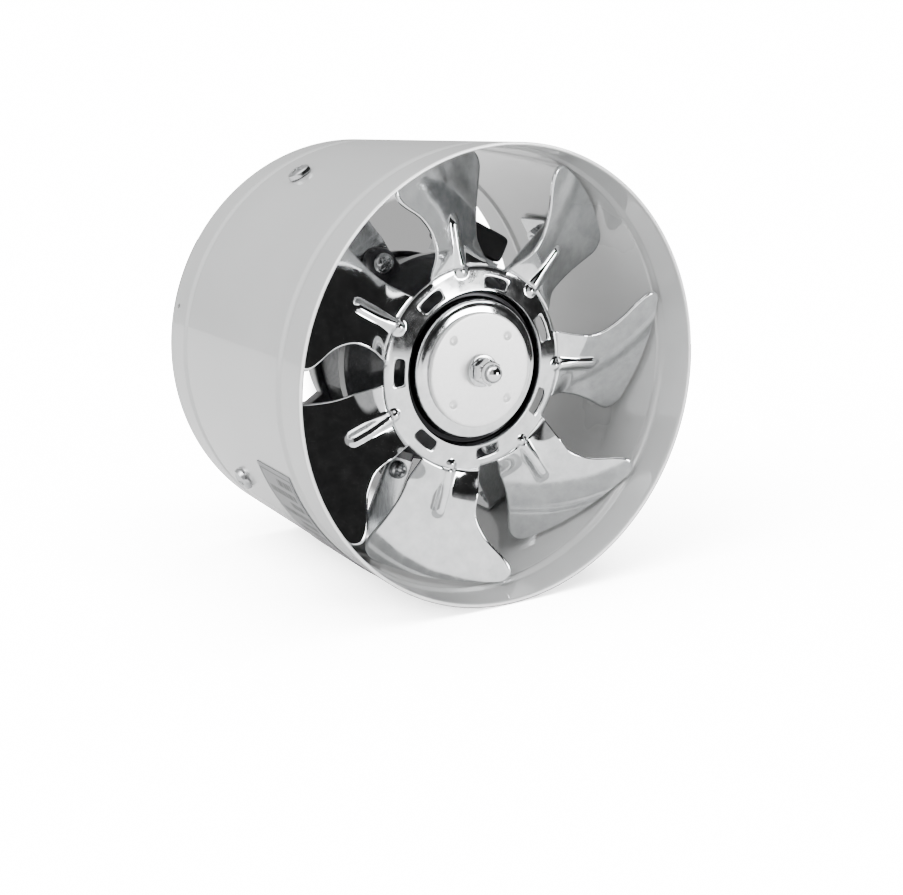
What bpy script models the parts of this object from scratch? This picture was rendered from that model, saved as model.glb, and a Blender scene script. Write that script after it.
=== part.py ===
"""Inline duct fan for a 150 mm round duct: a sheet steel casing tube with a motor on four strip arms and a
seven-blade pressed impeller in front of it.

The axis of the fan is world Y. The front rim lies at Y = 0 and the air path runs into the fan along +Y.
Sizes are millimetres and turn into metres in `add_mesh`. A clock angle is measured clockwise from the top,
as seen from in front of the fan, so that 0 points up (+Z) and 90 points right (+X).
"""

import math

import bmesh
import bpy
import numpy as np

MM = 0.001

# Casing tube
CASING_RADIUS = 75.0  # outside
CASING_LENGTH = 110.0
WALL = 1.0
BEAD_INSET = 15.0  # from each rim to the middle of the pressed bead
BEAD_WIDTH = 5.0
BEAD_DEPTH = 0.9
CASING_STEPS = 64

# Impeller
BLADES = 7
FIRST_RIB = 42.0  # clock angle of the first blade's stiffening rib
TIP_CLEARANCE = 2.0  # between the blade tips and the inside of the casing
SHEET = 0.9
RING_PLANE = 21.8  # front face of the ring that carries the blades
HUB_RADIUS = 19.4  # of the cover plate
DISH_RADIUS = 24.0
RING_INNER = 26.4
WINDOW_RADII = (27.4, 31.2)  # of the openings in the web between two blades
NECK_RADIUS = 34.5  # where the blades part
GROOVE_DEPTH = 3.2
RIB_START = 31.0
RIB_END = 52.0
RIB_HALF_WIDTH = 2.6
RIB_HEIGHT = 1.3
BLADE_PITCH = 26.0  # degrees at the tip
RING_CONE = 1.4  # how much deeper the ring lies at the neck than at the groove
TIP_SETBACK = 0.6  # how much deeper the tip lies than the neck, along the rib

# Hub stack, from the front
NUT_ACROSS_FLATS = 8.0
NUT_HEX = 4.0
NUT_DOME = 4.2
WASHER = 1.2
HUB_PLATE = 1.4
HUB_PLATE_FRONT = 19.2
WELD_CIRCLE = 15.0
BUSH_RADIUS = 8.0
BUSH_BACK = 28.0
SHAFT_RADIUS = 4.0
THREAD_RADIUS = 2.5

# Motor
NOSE = 29.4  # front of the motor's nose
NOSE_RADIUS = 14.0
FLANGE_FRONT = 47.0
FLANGE = 5.0
EAR_RADIUS = 5.2
STATOR_RADIUS = 33.2
STATOR_LENGTH = 20.0
REAR_BELL = 20.0
SHELL = 2.6
BEARING_RADIUS = 11.0
BEARING_WIDTH = 7.0
ROTOR_SHARE = 0.572  # of the stator's radius

# Arms between the motor and the casing
ARM_ANGLES = (57.5, 147.5, 237.5, 327.5)
ARM_WIDTH = 14.0
STRIP = 1.6
FOOT_SCREW = 71.0  # depth of the casing screws
FOOT_LENGTH = 16.0
SCREW_RADIUS = 2.0

# Small parts on the casing
LABEL_SPAN = (211.0, 249.0)
LABEL_FRONT = 19.0
LABEL_WIDTH = 25.0
LABEL_THICK = 0.3
GROMMET_ANGLE = 172.0
GROMMET_INSET = 6.3  # from the rear rim
GROMMET_RADIUS = 6.0
DRAIN_ANGLE = 282.5
DRAIN_INSET = 5.0  # of the small hole, from the rear rim
STRAP_ANGLE = 204.0
STRAP_WIDTH = 10.0
CAPACITOR_ANGLE = 26.0
CAPACITOR_SIZE = (20.0, 22.0, 10.0)  # across, along the axis, radial

GAP = 0.3

INNER_RADIUS = CASING_RADIUS - WALL
TIP_RADIUS = INNER_RADIUS - TIP_CLEARANCE
ROTOR_RADIUS = STATOR_RADIUS * ROTOR_SHARE
FLANGE_RADIUS = STATOR_RADIUS + 3.3
EAR_CIRCLE = FLANGE_RADIUS + EAR_RADIUS - 1.2  # of the tie bolts
STRAP_CIRCLE = EAR_CIRCLE + 1.0  # of the strap's screw
GROMMET_DEPTH = CASING_LENGTH - GROMMET_INSET
EAR_FRONT = FLANGE_FRONT + 0.1
EAR_BACK = FLANGE_FRONT + FLANGE
STATOR_FRONT = EAR_BACK + GAP
REAR_BELL_FRONT = STATOR_FRONT + STATOR_LENGTH + GAP
REAR_BELL_BACK = REAR_BELL_FRONT + REAR_BELL


def clear_scene():
    for obj in list(bpy.data.objects):
        bpy.data.objects.remove(obj)


def material(name, colour, metallic, roughness):
    made = bpy.data.materials.new(name)
    made.use_nodes = True
    shader = made.node_tree.nodes["Principled BSDF"]
    shader.inputs["Base Color"].default_value = (*colour, 1.0)
    shader.inputs["Metallic"].default_value = metallic
    shader.inputs["Roughness"].default_value = roughness
    made.diffuse_color = (*colour, 1.0)
    return made


def add_mesh(name, points, faces, finish, smooth=True):
    """An object from points in millimetres, with its faces turned outwards."""
    mesh = bpy.data.meshes.new(name)
    mesh.from_pydata((np.asarray(points, float) * MM).tolist(), [], [list(map(int, face)) for face in faces])
    work = bmesh.new()
    work.from_mesh(mesh)
    bmesh.ops.recalc_face_normals(work, faces=work.faces)
    work.to_mesh(mesh)
    work.free()
    obj = bpy.data.objects.new(name, mesh)
    bpy.context.scene.collection.objects.link(obj)
    mesh.materials.append(finish)
    if smooth:
        mesh.shade_smooth()
        mesh.set_sharp_from_angle(angle=math.radians(35))
    return obj


def revolved(name, profile, finish, steps=40):
    """A closed profile of (radius, y) turned about the Y axis. Points with radius 0 become one pole each."""
    profile = [(max(radius, 0.0), y) for radius, y in profile]
    turn = 2 * math.pi * np.arange(steps) / steps
    points = []
    rings = []
    for radius, y in profile:
        start = len(points)
        if radius == 0:
            points.append((0.0, y, 0.0))
            rings.append([start] * steps)
            continue
        points.extend((radius * math.sin(a), y, radius * math.cos(a)) for a in turn)
        rings.append(list(range(start, start + steps)))
    faces = []
    for first, second in zip(rings, rings[1:] + rings[:1]):
        for i in range(steps):
            j = (i + 1) % steps
            face = list(dict.fromkeys((first[i], first[j], second[j], second[i])))
            if len(face) > 2:
                faces.append(face)
    return add_mesh(name, points, faces, finish)


def extruded(name, outline, low, high, finish, axis="x", smooth=False):
    """A closed outline pushed from low to high along X, Y or Z. The outline holds the other two axes in order."""
    order = {"x": (2, 0, 1), "y": (0, 2, 1), "z": (0, 1, 2)}[axis]
    flat = [(*point, level) for level in (low, high) for point in outline]
    points = np.asarray(flat)[:, order]
    count = len(outline)
    faces = [list(range(count)), list(range(count, 2 * count))]
    faces += [[i, (i + 1) % count, (i + 1) % count + count, i + count] for i in range(count)]
    return add_mesh(name, points, faces, finish, smooth)


def regular(count, across_flats, turn=0.0):
    """The corners of a regular polygon, as (a, b)."""
    corner = across_flats / 2 / math.cos(math.pi / count)
    angles = turn + 2 * math.pi * np.arange(count) / count
    return [(corner * math.cos(a), corner * math.sin(a)) for a in angles]


def circle(radius, middle=(0.0, 0.0), steps=24):
    turn = 2 * math.pi * np.arange(steps) / steps
    return [(middle[0] + radius * math.cos(a), middle[1] + radius * math.sin(a)) for a in turn]


def combine(obj, tool, operation):
    """Joins or cuts with a helper, then takes the helper away."""
    modifier = obj.modifiers.new("combine", "BOOLEAN")
    modifier.operation = operation
    modifier.solver = "EXACT"
    modifier.object = tool
    graph = bpy.context.evaluated_depsgraph_get()
    result = bpy.data.meshes.new_from_object(obj.evaluated_get(graph))
    obj.modifiers.remove(modifier)
    obj.data = result
    bpy.data.objects.remove(tool)
    result.shade_smooth()
    result.set_sharp_from_angle(angle=math.radians(35))


def cut(obj, tool):
    combine(obj, tool, "DIFFERENCE")


def join(obj, tool):
    combine(obj, tool, "UNION")


def axial_rod(radius, front, back, steps=24, middle=(0.0, 0.0)):
    """A helper cylinder along Y, around (x, z)."""
    return extruded("tool", circle(radius, middle, steps), front, back, None, "y")


def radial_rod(radius, angle, y, inner, outer, steps=24):
    """A helper cylinder that points outwards at a clock angle."""
    tool = extruded("tool", circle(radius, (0.0, y), steps), inner, outer, None, "z")
    return turned(tool, angle)


def turned(obj, angle):
    """Swings an object that was drawn at the top to its clock angle about the fan's axis."""
    obj.rotation_euler = (0.0, math.radians(angle), 0.0)
    bpy.context.view_layer.update()
    return obj


def bead(side_sign, y_middle, radius):
    """Profile points of one pressed bead, which goes inwards from the given radius."""
    half = BEAD_WIDTH / 2
    shape = [(-1.0, 0.0), (-0.5, 0.5), (0.0, 1.0), (0.5, 0.5), (1.0, 0.0)]
    points = [(radius - depth * BEAD_DEPTH, y_middle + offset * half) for offset, depth in shape]
    return points[::side_sign]


def build_casing(paint):
    front, back = BEAD_INSET, CASING_LENGTH - BEAD_INSET
    edge = WALL / 3
    profile = [(CASING_RADIUS - edge, 0.0), (CASING_RADIUS, edge)]
    profile += bead(1, front, CASING_RADIUS) + bead(1, back, CASING_RADIUS)
    profile += [(CASING_RADIUS, CASING_LENGTH - edge), (CASING_RADIUS - edge, CASING_LENGTH)]
    profile += [(INNER_RADIUS, CASING_LENGTH)]
    profile += bead(-1, back, INNER_RADIUS) + bead(-1, front, INNER_RADIUS)
    profile += [(INNER_RADIUS, 0.0)]
    casing = revolved("casing_tube", profile, paint, CASING_STEPS)
    for angle in ARM_ANGLES:
        cut(casing, radial_rod(SCREW_RADIUS + GAP, angle, FOOT_SCREW, INNER_RADIUS - 5, CASING_RADIUS + 5, 16))
    cut(casing, radial_rod(GROMMET_RADIUS - 1.2, GROMMET_ANGLE, GROMMET_DEPTH, INNER_RADIUS - 5, CASING_RADIUS + 5))
    drain_y = CASING_LENGTH - DRAIN_INSET
    cut(casing, radial_rod(1.0, DRAIN_ANGLE, drain_y, INNER_RADIUS - 5, CASING_RADIUS + 5, 12))
    return casing


def build_label(foil):
    """A sheet that follows the casing, drawn as an arc between two clock angles."""
    inner = CASING_RADIUS + 0.05
    outer = inner + LABEL_THICK
    angles = np.radians(np.linspace(*LABEL_SPAN, 15))
    arc = [(outer * math.sin(a), outer * math.cos(a)) for a in angles]
    arc += [(inner * math.sin(a), inner * math.cos(a)) for a in angles[::-1]]
    return extruded("rating_label", arc, LABEL_FRONT, LABEL_FRONT + LABEL_WIDTH, foil, "y")


def build_grommet(rubber):
    """A collar with a flange on each side of the casing wall, at the inlet for the supply cord."""
    waist = GROMMET_RADIUS - 1.2 - GAP
    bore = GROMMET_RADIUS - 2.4
    low = INNER_RADIUS - 1.8
    high = CASING_RADIUS + 2.0
    profile = [(bore, low), (GROMMET_RADIUS, low), (GROMMET_RADIUS, INNER_RADIUS - 0.6)]
    profile += [(waist, INNER_RADIUS - 0.5), (waist, CASING_RADIUS + GAP), (GROMMET_RADIUS, CASING_RADIUS + 0.4)]
    profile += [(GROMMET_RADIUS - 0.6, high), (bore, high)]
    grommet = revolved("cable_grommet", profile, rubber, 20)
    stand_up(grommet, (0.0, GROMMET_DEPTH, 0.0))
    return turned(grommet, GROMMET_ANGLE)


def stand_up(obj, offset):
    """Turns the drawn Y axis of a mesh to +Z, then shifts it, in millimetres."""
    for vertex in obj.data.vertices:
        x, y, z = vertex.co
        vertex.co = (x + offset[0] * MM, offset[1] * MM - z, y + offset[2] * MM)


def strip_outline(path, thickness):
    """The outline of a bent strip: its path of (y, z) and the same path moved sideways by the thickness."""
    path = np.asarray(path, float)
    steps = np.diff(path, axis=0)
    steps /= np.linalg.norm(steps, axis=1)[:, None]
    normals = np.stack([steps[:, 1], -steps[:, 0]], axis=1)
    at_points = np.vstack([normals[:1], normals[:-1] + normals[1:], normals[-1:]])
    at_points /= (at_points**2).sum(axis=1, keepdims=True) ** 0.5
    scale = 1 / np.clip((at_points * np.vstack([normals, normals[-1:]])).sum(axis=1), 0.5, 1.0)
    moved = path + at_points * (thickness * scale)[:, None]
    return [tuple(point) for point in path] + [tuple(point) for point in moved[::-1]]


def arm_path():
    """From the motor's ear outwards and backwards, then along the casing wall."""
    wall = INNER_RADIUS - GAP - sagitta(ARM_WIDTH / 2)
    start = EAR_BACK + GAP
    foot = FOOT_SCREW - FOOT_LENGTH / 2
    return [
        (start + STRIP, STATOR_RADIUS + GAP),
        (start + STRIP, EAR_CIRCLE + EAR_RADIUS),
        (start + STRIP + 1.5, EAR_CIRCLE + EAR_RADIUS + 3),
        (foot - 1.5, wall - 4.0),
        (foot, wall - STRIP - 0.4),
        (foot + 2.0, wall - STRIP),
        (foot + FOOT_LENGTH, wall - STRIP),
    ]


def sagitta(half_width):
    """How far a flat strip of this half width stands off the round wall."""
    return INNER_RADIUS - math.sqrt(INNER_RADIUS**2 - half_width**2)


def build_arm(index, angle, steel):
    name = f"arm_{index}"
    outline = strip_outline(arm_path(), -STRIP)
    arm = extruded(name, outline, -ARM_WIDTH / 2, ARM_WIDTH / 2, steel)
    cut(arm, axial_rod(SCREW_RADIUS + GAP, EAR_BACK - 3, EAR_BACK + 6, 16, (0.0, EAR_CIRCLE)))
    cut(arm, radial_rod(SCREW_RADIUS + GAP, 0.0, FOOT_SCREW, INNER_RADIUS - 10, INNER_RADIUS + 5, 16))
    return turned(arm, angle)


def pan_screw(name, length, steel, head_radius=4.2):
    """A pan head screw along +Y with the seat of its head at 0 and a cross recess in the top."""
    head = 2.4
    profile = [(0.0, -head), (head_radius * 0.6, -head), (head_radius * 0.9, -head * 0.6)]
    profile += [(head_radius, -0.3), (head_radius, 0.0), (SCREW_RADIUS, 0.0), (SCREW_RADIUS, length), (0.0, length)]
    screw = revolved(name, profile, steel, 14)
    reach = head_radius * 0.62
    for wide, tall in ((reach, 0.55), (0.55, reach)):
        slot = [(-wide, -tall), (wide, -tall), (wide, tall), (-wide, tall)]
        cut(screw, extruded("tool", slot, -head - 1, -head + 1.3, None, "y"))
    return screw


def build_casing_screws(steel):
    """A screw from outside and a nut inside hold each arm's foot."""
    for index, angle in enumerate(ARM_ANGLES, 1):
        foot_inner = INNER_RADIUS - GAP - sagitta(ARM_WIDTH / 2) - STRIP
        nut_low = foot_inner - GAP - 3.0
        length = CASING_RADIUS - nut_low + 1.0
        screw = pan_screw(f"casing_screw_{index}", length, steel)
        flip_inwards(screw, CASING_RADIUS + GAP, FOOT_SCREW)
        turned(screw, angle)
        nut = extruded(f"casing_nut_{index}", regular(6, 7.0), nut_low, nut_low + 3.0, steel, "z")
        cut(nut, extruded("tool", circle(SCREW_RADIUS + GAP), nut_low - 1, nut_low + 4, None, "z"))
        for vertex in nut.data.vertices:
            vertex.co.y += FOOT_SCREW * MM
        turned(nut, angle)


def flip_inwards(obj, seat, y_middle):
    """Turns a screw drawn along +Y to point along -Z, its seat at the given height."""
    for vertex in obj.data.vertices:
        x, y, z = vertex.co
        vertex.co = (x, y_middle * MM + z, seat * MM - y)


def bell_profile(front_y, nose_radius, flange_radius, flange_front, flange_back):
    """The outer side of the motor's front shell, from its nose to the back of its flange."""
    drop = flange_front - front_y
    curve = [(0.0, 0.0), (0.03, 0.12), (0.25, 0.22), (0.55, 0.4), (0.8, 0.63), (0.95, 0.85), (1.0, 0.93)]
    span = flange_radius - 1.5 - nose_radius
    outer = [(nose_radius + span * a, front_y + drop * b) for a, b in curve]
    return outer + [(flange_radius, flange_front), (flange_radius, flange_back)]


def build_front_bell(cast):
    outer = bell_profile(NOSE, NOSE_RADIUS, FLANGE_RADIUS, FLANGE_FRONT, EAR_BACK)
    pocket = BEARING_RADIUS + GAP
    seat = NOSE + 2.0
    hollow = [(STATOR_RADIUS - 1.5, EAR_BACK), (STATOR_RADIUS - 1.5, FLANGE_FRONT - 3)]
    hollow += [(STATOR_RADIUS - 8, NOSE + 12.5), (pocket, NOSE + 10.0), (pocket, seat), (SHAFT_RADIUS + 2, seat)]
    bell = revolved("motor_front_bell", outer + hollow + [(SHAFT_RADIUS + 2, NOSE)], cast, 40)
    add_ears(bell, EAR_FRONT, EAR_BACK - 0.1)
    outline = ear_outline(STATOR_RADIUS, STRAP_CIRCLE)
    join(bell, turned(extruded("tool", outline, EAR_FRONT, EAR_BACK - 0.1, None, "y"), STRAP_ANGLE))
    cut(bell, turned(axial_rod(1.6, FLANGE_FRONT - 4, EAR_BACK - 0.6, 12, (0.0, STRAP_CIRCLE)), STRAP_ANGLE))
    return bell


def ear_outline(inner, bolt_circle=EAR_CIRCLE):
    """A lug that stands out from the bell and ends in an arc around the bolt."""
    around = np.radians(np.linspace(0, 180, 9))
    arc = [(EAR_RADIUS * math.cos(a), bolt_circle + EAR_RADIUS * math.sin(a)) for a in around]
    return [(EAR_RADIUS, inner)] + arc + [(-EAR_RADIUS, inner)]


def add_ears(bell, front, back):
    for angle in ARM_ANGLES:
        join(bell, turned(extruded("tool", ear_outline(STATOR_RADIUS), front, back, None, "y"), angle))
        cut(bell, turned(axial_rod(SCREW_RADIUS + GAP, front - 3, back + 3, 16, (0.0, EAR_CIRCLE)), angle))


def build_rear_bell(cast):
    front, back = REAR_BELL_FRONT, REAR_BELL_BACK
    rim = STATOR_RADIUS + 2.0
    outer = [(rim, front), (rim, front + 8), (rim - 2, front + 12), (rim - 8, back - 3.5), (NOSE_RADIUS + 3, back - 2)]
    outer += [(NOSE_RADIUS, back), (0.0, back)]
    pocket = BEARING_RADIUS + GAP
    floor = back - SHELL
    hollow = [(0.0, floor), (pocket, floor), (pocket, floor - BEARING_WIDTH), (rim - 10, floor - BEARING_WIDTH + 1)]
    hollow += [(rim - SHELL - 1, front + 8), (rim - SHELL, front)]
    bell = revolved("motor_rear_bell", outer + hollow, cast, 40)
    add_ears(bell, front + 0.1, front + 5)
    return bell


def build_tie_bolts(steel):
    """Four bolts clamp front bell, arms and rear bell together."""
    back = REAR_BELL_FRONT + 5 + GAP
    for index, angle in enumerate(ARM_ANGLES, 1):
        seat = EAR_FRONT - GAP
        length = back + 4.4 - seat
        bolt = pan_screw(f"tie_bolt_{index}", length, steel, 3.8)
        place(bolt, (0.0, seat, EAR_CIRCLE))
        turned(bolt, angle)
        nut = extruded(f"tie_nut_{index}", regular(6, 7.0), back, back + 3.2, steel, "y")
        cut(nut, axial_rod(SCREW_RADIUS + GAP, back - 1, back + 5, 16))
        place(nut, (0.0, 0.0, EAR_CIRCLE))
        turned(nut, angle)


def place(obj, offset):
    """Shifts a mesh inside its object, in millimetres, so that the origin stays on the fan's axis."""
    for vertex in obj.data.vertices:
        vertex.co.x += offset[0] * MM
        vertex.co.y += offset[1] * MM
        vertex.co.z += offset[2] * MM


def ring_profile(inner, outer, front, back):
    return [(inner, front), (outer, front), (outer, back), (inner, back)]


def build_stator(laminations, copper, steel):
    back = STATOR_FRONT + STATOR_LENGTH
    revolved("stator_core", ring_profile(ROTOR_RADIUS + 0.5, STATOR_RADIUS, STATOR_FRONT, back), laminations, 40)
    low, high = ROTOR_RADIUS + 2.0, STATOR_RADIUS - 4.5
    for name, front in (("winding_front", STATOR_FRONT - GAP - 5), ("winding_rear", back + GAP)):
        profile = [(low, front), (high - 1.5, front), (high, front + 1.5), (high, front + 5), (low, front + 5)]
        revolved(name, profile, copper, 24)
    seat = NOSE + 2.0 + GAP
    far = REAR_BELL_BACK - SHELL - GAP - BEARING_WIDTH
    for name, front in (("bearing_front", seat), ("bearing_rear", far)):
        profile = ring_profile(SHAFT_RADIUS + GAP, BEARING_RADIUS, front, front + BEARING_WIDTH)
        revolved(name, profile, steel, 24)


def build_strap(steel):
    """A flat strip from a lug on the motor to the casing, which earths the motor."""
    wall = INNER_RADIUS - GAP - sagitta(STRAP_WIDTH / 2)
    thickness = 1.2
    back = EAR_FRONT - GAP
    front = back - thickness
    path = [(back, STRAP_CIRCLE - 4), (back, wall - 6), (back + 1, wall - 3), (back + 3, wall - thickness)]
    path += [(back + 16, wall - thickness)]
    outline = strip_outline(path, -thickness)
    strap = extruded("earth_strap", outline, -STRAP_WIDTH / 2, STRAP_WIDTH / 2, steel)
    cut(strap, axial_rod(SCREW_RADIUS, front - 3, front + 3, 16, (0.0, STRAP_CIRCLE)))
    turned(strap, STRAP_ANGLE)
    screw = revolved("earth_screw", screw_profile(), steel, 14)
    place(screw, (0.0, front - GAP, STRAP_CIRCLE))
    turned(screw, STRAP_ANGLE)


def screw_profile():
    return [(0.0, -2.0), (2.2, -2.0), (3.2, -0.8), (3.2, 0.0), (1.3, 0.0), (1.3, 5.0), (0.0, 5.0)]


def build_capacitor(black, steel):
    """A run capacitor in a moulded box, on a saddle that sits on the motor's flange."""
    across, along, tall = CAPACITOR_SIZE
    floor = FLANGE_RADIUS + 3.0
    high = floor + tall
    half = across / 2
    outline = [(-half, floor), (half, floor), (half, high - 2), (half - 2, high), (2 - half, high), (-half, high - 2)]
    turned(extruded("run_capacitor", outline, FLANGE_FRONT, FLANGE_FRONT + along, black, "y"), CAPACITOR_ANGLE)
    seat = FLANGE_RADIUS + GAP
    bend = np.arcsin((half - 1) / seat) * np.linspace(-1, 1, 9)
    saddle = [(seat * math.sin(a), seat * math.cos(a)) for a in bend]
    saddle += [(half - 1, floor - GAP), (1 - half, floor - GAP)]
    turned(extruded("capacitor_saddle", saddle, FLANGE_FRONT, FLANGE_FRONT + along - 3, steel, "y"), CAPACITOR_ANGLE)


def blade_edges(radius):
    """The two sides of a blade at a radius, in degrees from its rib: the swept lobe first, the rear edge last."""
    at = (radius - NECK_RADIUS) / (TIP_RADIUS - NECK_RADIUS)
    stations = (-0.08, 0.0, 0.22, 0.40, 0.60, 0.78, 0.90, 0.96, 1.0)
    lobe = (-16.5, -20.0, -15.0, -13.5, -16.0, -20.7, -23.0, -22.4, -17.5)
    rear = (15.5, 18.5, 15.5, 14.5, 15.0, 16.0, 15.5, 14.0, 9.5)
    return float(np.interp(at, stations, lobe)), float(np.interp(at, stations, rear))


def hub_depth(radius):
    """Depth of the impeller's front face inside the blades: a raised middle, a pressed groove, then the ring."""
    radii = [0.0, DISH_RADIUS - 2.6, DISH_RADIUS - 1.0, DISH_RADIUS]
    radii += [RING_INNER - 0.8, RING_INNER, RING_INNER + 0.8, NECK_RADIUS]
    middle = HUB_PLATE_FRONT + HUB_PLATE + GAP
    groove = RING_PLANE + GROOVE_DEPTH
    ring = [RING_PLANE + 0.3, RING_PLANE, RING_PLANE + RING_CONE]
    depths = [middle, middle, middle + 0.5, groove, groove, *ring]
    return float(np.interp(radius, radii, depths))


def blade_depth(radius, angle):
    """Depth of a blade's front face. The angle is in degrees from the rib. The twist grows from the neck on."""
    grown = min(max((radius - NECK_RADIUS + 1.5) / 11.0, 0.0), 1.0)
    grown = grown * grown * (3 - 2 * grown)
    back = TIP_SETBACK * max(radius - NECK_RADIUS, 0) / (TIP_RADIUS - NECK_RADIUS)
    twist = math.tan(math.radians(BLADE_PITCH)) * radius * math.radians(angle) * grown
    return hub_depth(radius) + back + twist - rib_height(radius, angle)


def rib_height(radius, angle):
    across = abs(radius * math.radians(angle)) / RIB_HALF_WIDTH
    if across >= 1 or not RIB_START < radius < RIB_END:
        return 0.0
    end = min(radius - RIB_START, RIB_END - radius) / 2.5
    return RIB_HEIGHT * min(end, 1.0) * min(2 * (1 - across), 1.0)


def blade_columns(radius):
    """Angles across one blade at a radius, in degrees from the rib, closer together at the rib."""
    lobe, rear = blade_edges(radius)
    side = math.degrees(RIB_HALF_WIDTH / radius)
    before = [lobe, (lobe - side) / 2]
    after = [(side + rear) / 2, rear]
    return before + [-side, -side / 2, side / 2, side] + after


def build_impeller(chrome):
    """One pressed sheet. Every row is a radius and every column an angle; the blades part beyond the neck."""
    hub_rows = [BUSH_RADIUS + GAP, DISH_RADIUS - 2.6, DISH_RADIUS - 1.0, DISH_RADIUS, RING_INNER - 0.8]
    hub_rows += [RING_INNER, *WINDOW_RADII, NECK_RADIUS]
    free = TIP_RADIUS - NECK_RADIUS
    blade_rows = [NECK_RADIUS + free * part for part in (0.05, 0.13, 0.22, 0.31)] + [RIB_END - 2.5, RIB_END]
    blade_rows += [NECK_RADIUS + free * part for part in (0.60, 0.74, 0.86, 0.945, 0.985, 1.0)]
    windows = hub_rows.index(WINDOW_RADII[0])
    pitch = 360 / BLADES
    across = len(blade_columns(NECK_RADIUS))
    front = []
    for blade in range(BLADES):
        rib = FIRST_RIB + blade * pitch
        for radius in hub_rows + blade_rows:
            for angle in blade_columns(radius):
                clock = math.radians(rib + angle)
                depth = blade_depth(radius, angle) if radius > RING_INNER else hub_depth(radius)
                front.append((radius * math.sin(clock), depth, radius * math.cos(clock)))
    rows = len(hub_rows) + len(blade_rows)
    index = np.arange(len(front)).reshape(BLADES, rows, across)
    quads = []
    for blade in range(BLADES):
        here, following = index[blade], index[(blade + 1) % BLADES]
        for row in range(rows - 1):
            pairs = list(zip(here[:, :-1].T, here[:, 1:].T))
            if row < len(hub_rows) - 1 and row != windows:
                pairs.append((here[:, -1], following[:, 0]))
            quads += [(a[row], b[row], b[row + 1], a[row + 1]) for a, b in pairs]
    return thick_sheet("impeller", np.asarray(front), quads, SHEET, chrome)


def thick_sheet(name, front, quads, thickness, finish):
    """Two copies of a sheet, the second one deeper along Y, closed along the free edges."""
    count = len(front)
    back = front + np.array([0.0, thickness, 0.0])
    uses = {}
    for quad in quads:
        for a, b in zip(quad, quad[1:] + quad[:1]):
            uses[(a, b)] = True
    free = [(a, b) for a, b in uses if (b, a) not in uses]
    faces = list(quads)
    faces += [tuple(i + count for i in reversed(quad)) for quad in quads]
    faces += [(b, a, a + count, b + count) for a, b in free]
    return add_mesh(name, np.vstack([front, back]), faces, finish)


def build_hub(plate_paint, chrome, steel):
    back = HUB_PLATE_FRONT + HUB_PLATE
    hole = THREAD_RADIUS + GAP
    edge = HUB_RADIUS - 0.5
    profile = [(hole, HUB_PLATE_FRONT), (edge, HUB_PLATE_FRONT), (HUB_RADIUS, HUB_PLATE_FRONT + 0.5)]
    plate = revolved("hub_plate", profile + [(HUB_RADIUS, back), (hole, back)], plate_paint, 40)
    for index in range(4):
        angle = math.radians(45 + 90 * index)
        spot = (WELD_CIRCLE * math.sin(angle), WELD_CIRCLE * math.cos(angle))
        cut(plate, axial_rod(1.6, HUB_PLATE_FRONT - 1, back + 1, 12, spot))
        weld = [(0.0, -0.25), (1.0, -0.1), (1.3, 0.2), (1.3, HUB_PLATE), (0.0, HUB_PLATE)]
        place(revolved(f"spot_weld_{index + 1}", weld, chrome, 12), (spot[0], HUB_PLATE_FRONT, spot[1]))
    bush_front = back + GAP
    profile = ring_profile(SHAFT_RADIUS + GAP, BUSH_RADIUS, bush_front, BUSH_BACK)
    revolved("hub_bush", profile, steel, 24)
    washer_back = HUB_PLATE_FRONT - GAP
    revolved("washer", ring_profile(hole, 5.5, washer_back - WASHER, washer_back), steel, 24)
    return washer_back - WASHER - GAP


def build_acorn_nut(chrome, seat):
    """A hexagon with chamfered corners under a dome, open at the back for the thread."""
    half = NUT_ACROSS_FLATS / 2
    top = seat - NUT_HEX
    dome = half - 0.4
    tip = top - NUT_DOME
    arc = np.radians(np.linspace(0, 90, 7))
    bore = THREAD_RADIUS + GAP
    profile = [(bore, seat), (half + 0.4, seat), (half + 0.8, seat - 0.6), (half + 0.8, top + 0.6), (dome, top)]
    profile += [(dome * math.cos(a), top - NUT_DOME * math.sin(a)) for a in arc[1:-1]]
    profile += [(0.0, tip), (0.0, tip + 2.4), (bore, tip + 3.0)]
    nut = revolved("acorn_nut", profile, chrome, 24)
    hexagon = extruded("tool", regular(6, NUT_ACROSS_FLATS, math.pi / 6), tip - 1, seat + 1, None, "y")
    combine(nut, hexagon, "INTERSECT")
    return tip + 3.4


def build_shaft(steel, thread_end):
    shoulder = HUB_PLATE_FRONT + HUB_PLATE + GAP
    end = REAR_BELL_BACK - SHELL - GAP
    profile = [(0.0, thread_end), (THREAD_RADIUS - 0.5, thread_end), (THREAD_RADIUS, thread_end + 0.5)]
    profile += [(THREAD_RADIUS, shoulder), (SHAFT_RADIUS, shoulder), (SHAFT_RADIUS, end - 0.5)]
    revolved("shaft", profile + [(SHAFT_RADIUS - 0.5, end), (0.0, end)], steel, 24)


def build_rotor(laminations):
    profile = ring_profile(SHAFT_RADIUS + GAP, ROTOR_RADIUS, STATOR_FRONT + 1, STATOR_FRONT + STATOR_LENGTH - 1)
    revolved("rotor_core", profile, laminations, 40)


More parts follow.
